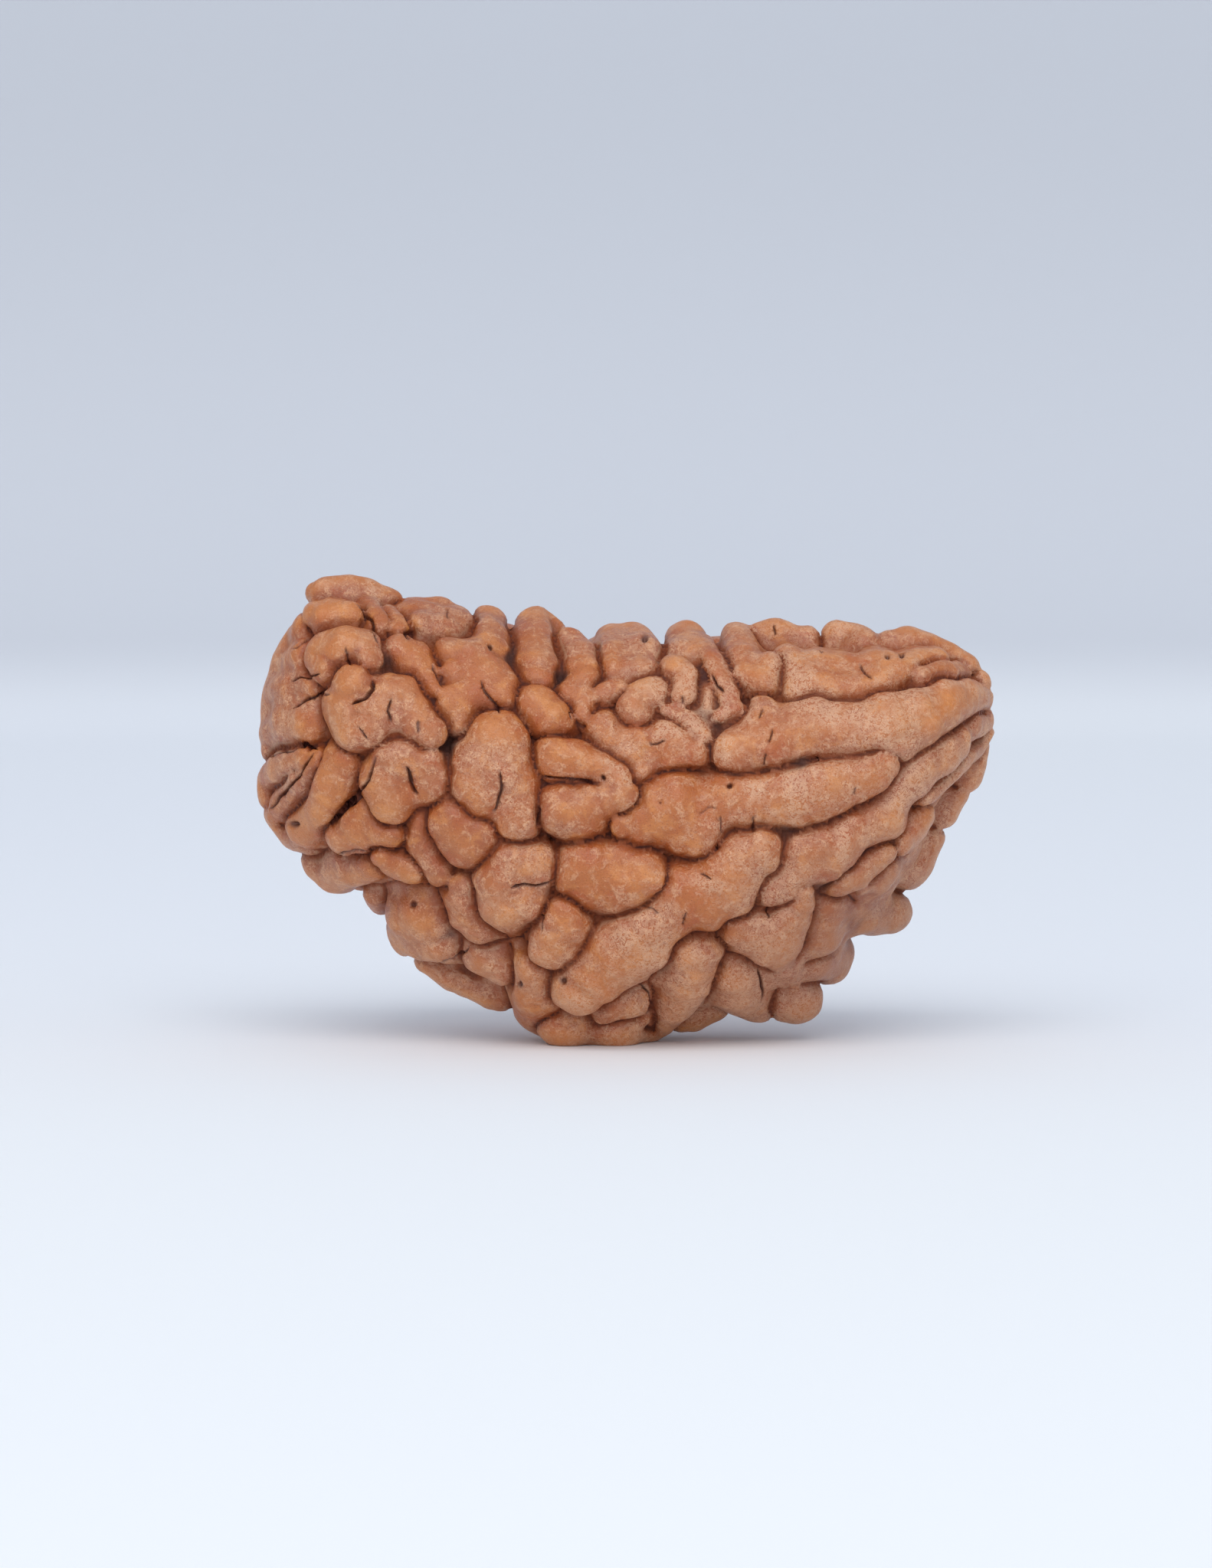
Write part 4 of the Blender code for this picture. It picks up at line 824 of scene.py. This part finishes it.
def skin_layers(spots, way, folds, field, axes):
    """What the colours and the relief follow, one value at each point of the skin.

    tight and broad are about how much of the seed surrounds a point, over a short and a longer
    way; edge is low in the creases.
    """
    solid = np.clip(0.5 - field / 0.25, 0, 1)
    tight = sample(soften(solid, reach=3), axes, GRID_STEP, spots)
    broad = sample(soften(solid, reach=11), axes, GRID_STEP, spots)
    edge, tint = fold_layers(spots, folds)
    edge = np.maximum(edge, np.clip((0.56 - tight) / 0.1, 0, 1))
    view = seen_from_front(spots)
    front = way[:, 1] < 0.15
    dust = np.zeros(len(spots))
    for width, path in DUST:
        dust = np.maximum(dust, mark(path_gap(view, path)[0], width, front))
    # where the hollows are, to be darkened with painted shade in the material
    hollow_shade = np.zeros(len(spots))
    for u, v, radius in HOLLOWS:
        hollow_shade = np.maximum(hollow_shade, mark(np.hypot(*(view - (u, v)).T), radius, front))
    return {
        "tight": np.clip((tight - 0.5) * 4, -1, 1), "broad": np.clip((broad - 0.5) * 4, -1, 1),
        "edge": edge, "dust": dust, "hollow_shade": hollow_shade, "tint": tint,
    }


def carved(spots, way, edge, cuts):
    """The points of the skin with the relief, the cuts and the creases sunk into them."""
    relief = sum(height * ripple(spots, cell, seed) for height, cell, seed in RELIEF)
    relief -= cuts
    crease = sum(depth * np.exp(-(edge / width) ** 2) for depth, width in CREASES)
    relief -= crease * (1 + 0.5 * ripple(spots, cell=2.3, seed=4))
    relief *= np.clip((spots[:, 2] - 0.02) / 0.4, 0, 1)
    spots = drifted(spots + way * relief[:, None])
    spots[:, 2] = np.maximum(spots[:, 2], FLAT_LEVEL)
    return spots


def build_skin():
    """The finished skin in its CAD box, and how it was fitted: middle, scale and target."""
    folds = seed_folds()
    item, field, axes = grown_skin(folds)
    mesh = item.data
    spots = rows_of(mesh.vertices, "co")
    way = rows_of(mesh.vertex_normals, "vector")
    layers = skin_layers(spots, way, folds, field, axes)
    cuts = cut_depth(spots, way[:, 1])
    # where the cuts are, to be darkened with painted shade in the material
    layers["cut"] = np.clip(cuts / 0.12, 0, 1)
    spots = carved(spots, way, layers["edge"], cuts)

    least = spots.min(0)
    most = spots.max(0)
    room = np.array(HIGH - LOW) * 1000
    scale = (room / (most - least)).min() * FIT
    middle = np.array([(least[0] + most[0]) / 2, (least[1] + most[1]) / 2, least[2]])
    target = np.array([(LOW.x + HIGH.x) / 2, (LOW.y + HIGH.y) / 2, LOW.z])
    mesh.vertices.foreach_set("co", ((spots - middle) * scale / 1000 + target).ravel())
    mesh.polygons.foreach_set("use_smooth", np.ones(len(mesh.polygons), bool))
    for name, values in layers.items():
        layer = mesh.attributes.new(name, "FLOAT", "POINT")
        layer.data.foreach_set("value", np.asarray(values, np.float32))
    mesh.update()
    return item, middle, scale, target


def tone(red, green, blue):
    """A colour written as on screen, as the linear values a shader takes."""
    parts = []
    for value in (red, green, blue):
        value = value / 255
        parts.append(value / 12.92 if value <= 0.04045 else ((value + 0.055) / 1.055) ** 2.4)
    return (*parts, 1.0)


class Nodes:
    """Short ways to place and join the nodes of a material or of the world.

    span maps a value from low..high to to_low..to_high, and coat covers the colour so far.
    """

    def __init__(self, owner, shader):
        owner.use_nodes = True
        self.owner = owner
        self.tree = owner.node_tree
        self.shader = self.tree.nodes[shader]
        self.colour = None

    def put(self, kind, inputs=None, **values):
        node = self.tree.nodes.new(kind)
        for key, value in values.items():
            setattr(node, key, value)
        self.join(node, inputs or {})
        return node

    def join(self, node, inputs):
        for key, value in inputs.items():
            if isinstance(value, bpy.types.NodeSocket):
                self.tree.links.new(value, node.inputs[key])
            else:
                node.inputs[key].default_value = value

    def layer(self, name):
        return self.put("ShaderNodeAttribute", attribute_name=name).outputs["Fac"]

    def noise(self, where, scale, detail=2.0, rough=0.5, warp=0.0):
        inputs = {"Vector": where, "Scale": scale, "Detail": detail}
        inputs.update({"Roughness": rough, "Distortion": warp})
        return self.put("ShaderNodeTexNoise", inputs).outputs["Fac"]

    def math(self, kind, a, b=0.0, clamp=False):
        node = self.put("ShaderNodeMath", {0: a, 1: b}, operation=kind, use_clamp=clamp)
        return node.outputs[0]

    def plus(self, a, b, clamp=False):
        return self.math("ADD", a, b, clamp)

    def times(self, a, b):
        return self.math("MULTIPLY", a, b)

    def span(self, value, low, high, to_low=0.0, to_high=1.0, kind="SMOOTHSTEP"):
        inputs = {"Value": value, "From Min": low, "From Max": high}
        inputs.update({"To Min": to_low, "To Max": to_high})
        node = self.put("ShaderNodeMapRange", inputs, interpolation_type=kind)
        return node.outputs["Result"]

    def coat(self, share, red, green, blue):
        inputs = {"Factor": share, 6: self.colour, 7: tone(red, green, blue)}
        self.colour = self.put("ShaderNodeMix", inputs, data_type="RGBA").outputs[2]


def seed_material():
    """Dry woody skin: mottled orange tan, pale bloom and reddish folds; creases, hollows, cuts and
    the lower right darkened with painted shade, crests lightened with a painted highlight.
    """
    n = Nodes(bpy.data.materials.new("seed_skin"), "Principled BSDF")
    space = n.put("ShaderNodeTexCoord").outputs["Object"]
    grown = n.put("ShaderNodeVectorMath", {0: space, "Scale": 1000.0}, operation="SCALE")
    where = grown.outputs[0]
    x, _, z = n.put("ShaderNodeSeparateXYZ", {0: where}).outputs
    wide = n.noise(where, 0.3, 3.0, 0.55, 0.3)
    patch = n.noise(where, 0.9, 3.0, 0.55, 0.6)
    blotch = n.noise(where, 2.6, 3.0, 0.6, 0.8)
    worm = n.noise(where, 7.5, 3.0, 0.65, 1.2)
    grain = n.noise(where, 13.0, 3.0, 0.65, 0.3)
    names = ("tight", "broad", "edge", "cut", "dust", "hollow_shade", "tint")
    tight, broad, edge, cut, dust, hollow_shade, tint = [n.layer(name) for name in names]
    deep = n.span(tight, 0.15, 0.75)
    shade = n.span(broad, 0.2, 0.9)

    # the tan of each fold, paler and redder patches and fine specks; flanks that turn redder toward
    # the creases and darker with painted shade; painted shade where much of the seed closes around
    # a point; a painted highlight on the open crests
    n.colour = tone(178, 98, 45)
    n.coat(n.span(n.plus(wide, n.times(tint, 0.1)), 0.38, 0.62), 164, 90, 52)
    n.coat(n.span(patch, 0.48, 0.72, 0.0, 0.6), 216, 142, 78)
    n.coat(n.span(patch, 0.48, 0.3, 0.0, 0.65), 174, 84, 38)
    n.coat(n.span(blotch, 0.52, 0.68, 0.0, 0.4), 168, 92, 58)
    speck = n.span(wide, 0.35, 0.65, 0.6, 1.0)
    n.coat(n.times(speck, n.span(grain, 0.48, 0.34, 0.0, 0.6)), 136, 70, 42)
    n.coat(n.times(speck, n.span(n.plus(grain, blotch), 1.06, 1.24, 0.0, 0.7)), 226, 170, 126)
    # flanks toward the creases: redder, partly the skin's own colour and partly painted shade, then
    # darker next to the crease with painted shade
    n.coat(n.span(edge, 0.9, 0.15, 0.0, 0.6), 146, 70, 32)
    n.coat(n.span(edge, 0.2, 0.01, 0.0, 0.58), 104, 45, 30)
    # painted shade in the concave places, where much of the seed surrounds a point
    n.coat(n.times(shade, 0.35), 146, 74, 38)
    # painted highlight on the open, convex crests of the folds
    top = n.times(n.span(broad, -0.1, -0.7), n.span(edge, 0.5, 1.0))
    n.coat(n.times(top, 0.4), 224, 148, 82)

    # the pale dry film with its bright threads: more of it at the right, low down and on dust
    bias = n.span(x, -6.0, 9.0, 0.05, 0.36)
    bias = n.plus(bias, n.span(z, 6.5, 1.5, 0.0, 0.28))
    zone = n.plus(n.span(wide, 0.36, 0.66, -0.15, 0.45), bias)
    zone = n.plus(zone, n.times(dust, 0.95))
    zone = n.plus(zone, n.span(blotch, 0.35, 0.65, -0.25, 0.25), clamp=True)
    zone = n.times(zone, n.span(edge, 0.05, 0.28, 0.15, 1.0))
    film = n.times(zone, n.span(worm, 0.42, 0.62, 0.05, 0.85))
    n.coat(film, 210, 160, 126)
    thread = n.span(n.math("ABSOLUTE", n.math("SUBTRACT", worm, 0.5)), 0.03, 0.0)
    thread = n.times(thread, n.times(zone, 0.9))
    n.coat(thread, 228, 188, 156)

    # pale lips beside the creases, then painted shade in the tight folds, along the thin crease
    # lines, in the hollows and in the cuts, and painted shade over the lower right
    rim = n.times(n.span(edge, 0.1, 0.18), n.span(edge, 0.36, 0.22))
    rim = n.times(rim, n.span(wide, 0.5, 0.62, 0.0, 0.4))
    n.coat(rim, 196, 158, 128)
    # painted shade in the tight folds of the skin
    n.coat(n.times(deep, 0.4), 108, 50, 30)
    # painted shade along the thin crease lines
    n.coat(n.times(n.span(edge, 0.1, 0.0), n.span(wide, 0.38, 0.6, 0.92, 0.45)), 62, 30, 28)
    # painted shade in the hollows where several folds meet
    hollow_shade_mask = n.times(hollow_shade, n.span(tight, -0.1, 0.5))
    n.coat(n.times(hollow_shade_mask, 0.85), 66, 44, 40)
    # painted shade in the narrow cuts
    n.coat(n.times(cut, 0.82), 80, 38, 33)
    # painted shade over the lower right of the seed
    low = n.times(n.span(x, 2.0, 9.0), n.span(z, 10.0, 4.0))
    n.coat(n.times(low, 0.36), 126, 72, 52)

    # duller in the depths and under the film, with less sheen in the creases
    dull = n.plus(n.span(grain, 0.3, 0.7, 0.26, 0.42), n.times(deep, 0.25))
    dull = n.plus(dull, n.times(film, 0.3), clamp=True)

    # grain too fine for the mesh
    high = n.plus(n.times(grain, 0.35), n.times(worm, 0.35))
    high = n.plus(high, n.times(blotch, 0.9))
    bump = n.put("ShaderNodeBump", {"Strength": 0.7, "Distance": 0.00009, "Height": high})
    n.join(n.shader, {
        "Base Color": n.colour, "Roughness": dull, "Normal": bump.outputs["Normal"],
        "Specular IOR Level": n.span(edge, 0.04, 0.3, 0.15, 0.6),
    })
    return n.owner


def stage_material():
    """Nearly white paper, darkened with painted shade as it rises into the wall."""
    n = Nodes(bpy.data.materials.new("studio"), "Principled BSDF")
    space = n.put("ShaderNodeTexCoord").outputs["Object"]
    _, _, z = n.put("ShaderNodeSeparateXYZ", {0: space}).outputs
    n.colour = tone(243, 248, 255)
    n.coat(n.span(n.noise(space, 4.0), 0.3, 0.7), 246, 251, 255)
    # painted shade: the bend and the wall greyer than the floor
    n.coat(n.span(z, 0.0001, 0.0060), 219, 224, 232)
    n.coat(n.span(z, 0.0020, 0.0500), 203, 208, 216)
    n.join(n.shader, {"Base Color": n.colour, "Roughness": 0.8, "Specular IOR Level": 0.2})
    return n.owner


def build_stage():
    """Pale floor that turns up into a plain wall behind."""
    line = [(FLOOR_FRONT, 0.0), (FLOOR_BACK, 0.0)]
    for step in range(1, BEND_STEPS + 1):
        turn = step / BEND_STEPS * math.pi / 2
        line.append((FLOOR_BACK + BEND * math.sin(turn), BEND - BEND * math.cos(turn)))
    line.append((FLOOR_BACK + BEND, WALL_TOP))
    points = [(side, y, z) for y, z in line for side in (-STAGE_HALF, STAGE_HALF)]
    faces = [(i, i + 1, i + 3, i + 2) for i in range(0, 2 * len(line) - 2, 2)]
    item = mesh_object("studio", points, faces)
    item.data.polygons.foreach_set("use_smooth", [True] * len(faces))
    item.data.materials.append(stage_material())


def area_light(name, place, aim, size, power, colour):
    """A soft box that is turned toward its aim."""
    light = bpy.data.lights.new(name, "AREA")
    light.shape = "RECTANGLE"
    light.size = size[0]
    light.size_y = size[1]
    light.energy = power
    light.color = colour
    item = placed(name, light)
    item.location = place
    item.rotation_euler = (Vector(aim) - Vector(place)).to_track_quat("-Z", "Y").to_euler()


def build_lights():
    """A wide soft box above and before the seed, in a white tent that is brightest up there."""
    area_light("key", place=(-0.02, -0.36, 0.40), aim=(0.0, 0.0, 0.01), size=(0.46, 0.36),
        power=1.30, colour=(1, 0.98, 0.96))
    n = Nodes(bpy.data.worlds.new("studio_air"), "Background")
    way = n.put("ShaderNodeTexCoord").outputs["Generated"]
    along = n.put("ShaderNodeVectorMath", {0: way, 1: TENT_WAY}, operation="DOT_PRODUCT")
    rise = n.span(along.outputs["Value"], -0.3, 1.0, TENT_SIDE, TENT_TOP, "LINEAR")
    n.join(n.shader, {"Strength": rise, "Color": tone(240, 243, 250)})
    bpy.context.scene.world = n.owner


def build_camera(middle, scale, target):
    """As the photograph was taken: a long lens a little above the middle of the seed."""
    back = Vector((0, -math.cos(VIEW_RISE), math.sin(VIEW_RISE)))
    aim = np.array([VIEW_ACROSS, 0.0, VIEW_MIDDLE])
    aim = Vector((aim - middle) * scale / 1000 + target)
    camera = bpy.data.cameras.new("camera")
    camera.sensor_width = 36
    camera.lens = camera.sensor_width * VIEW_DISTANCE / VIEW_WIDTH
    camera.clip_start = 0.01
    item = placed("camera", camera)
    item.location = aim + back * VIEW_DISTANCE * scale / 1000
    item.rotation_euler = (-back).to_track_quat("-Z", "Y").to_euler()
    bpy.context.scene.camera = item


skin, middle, scale, target = build_skin()
skin.data.materials.append(seed_material())
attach(skin, "root")
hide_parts("seed")
build_stage()
build_lights()
build_camera(middle, scale, target)
scene = bpy.context.scene
scene.view_settings.view_transform = "Standard"
scene.view_settings.look = "None"
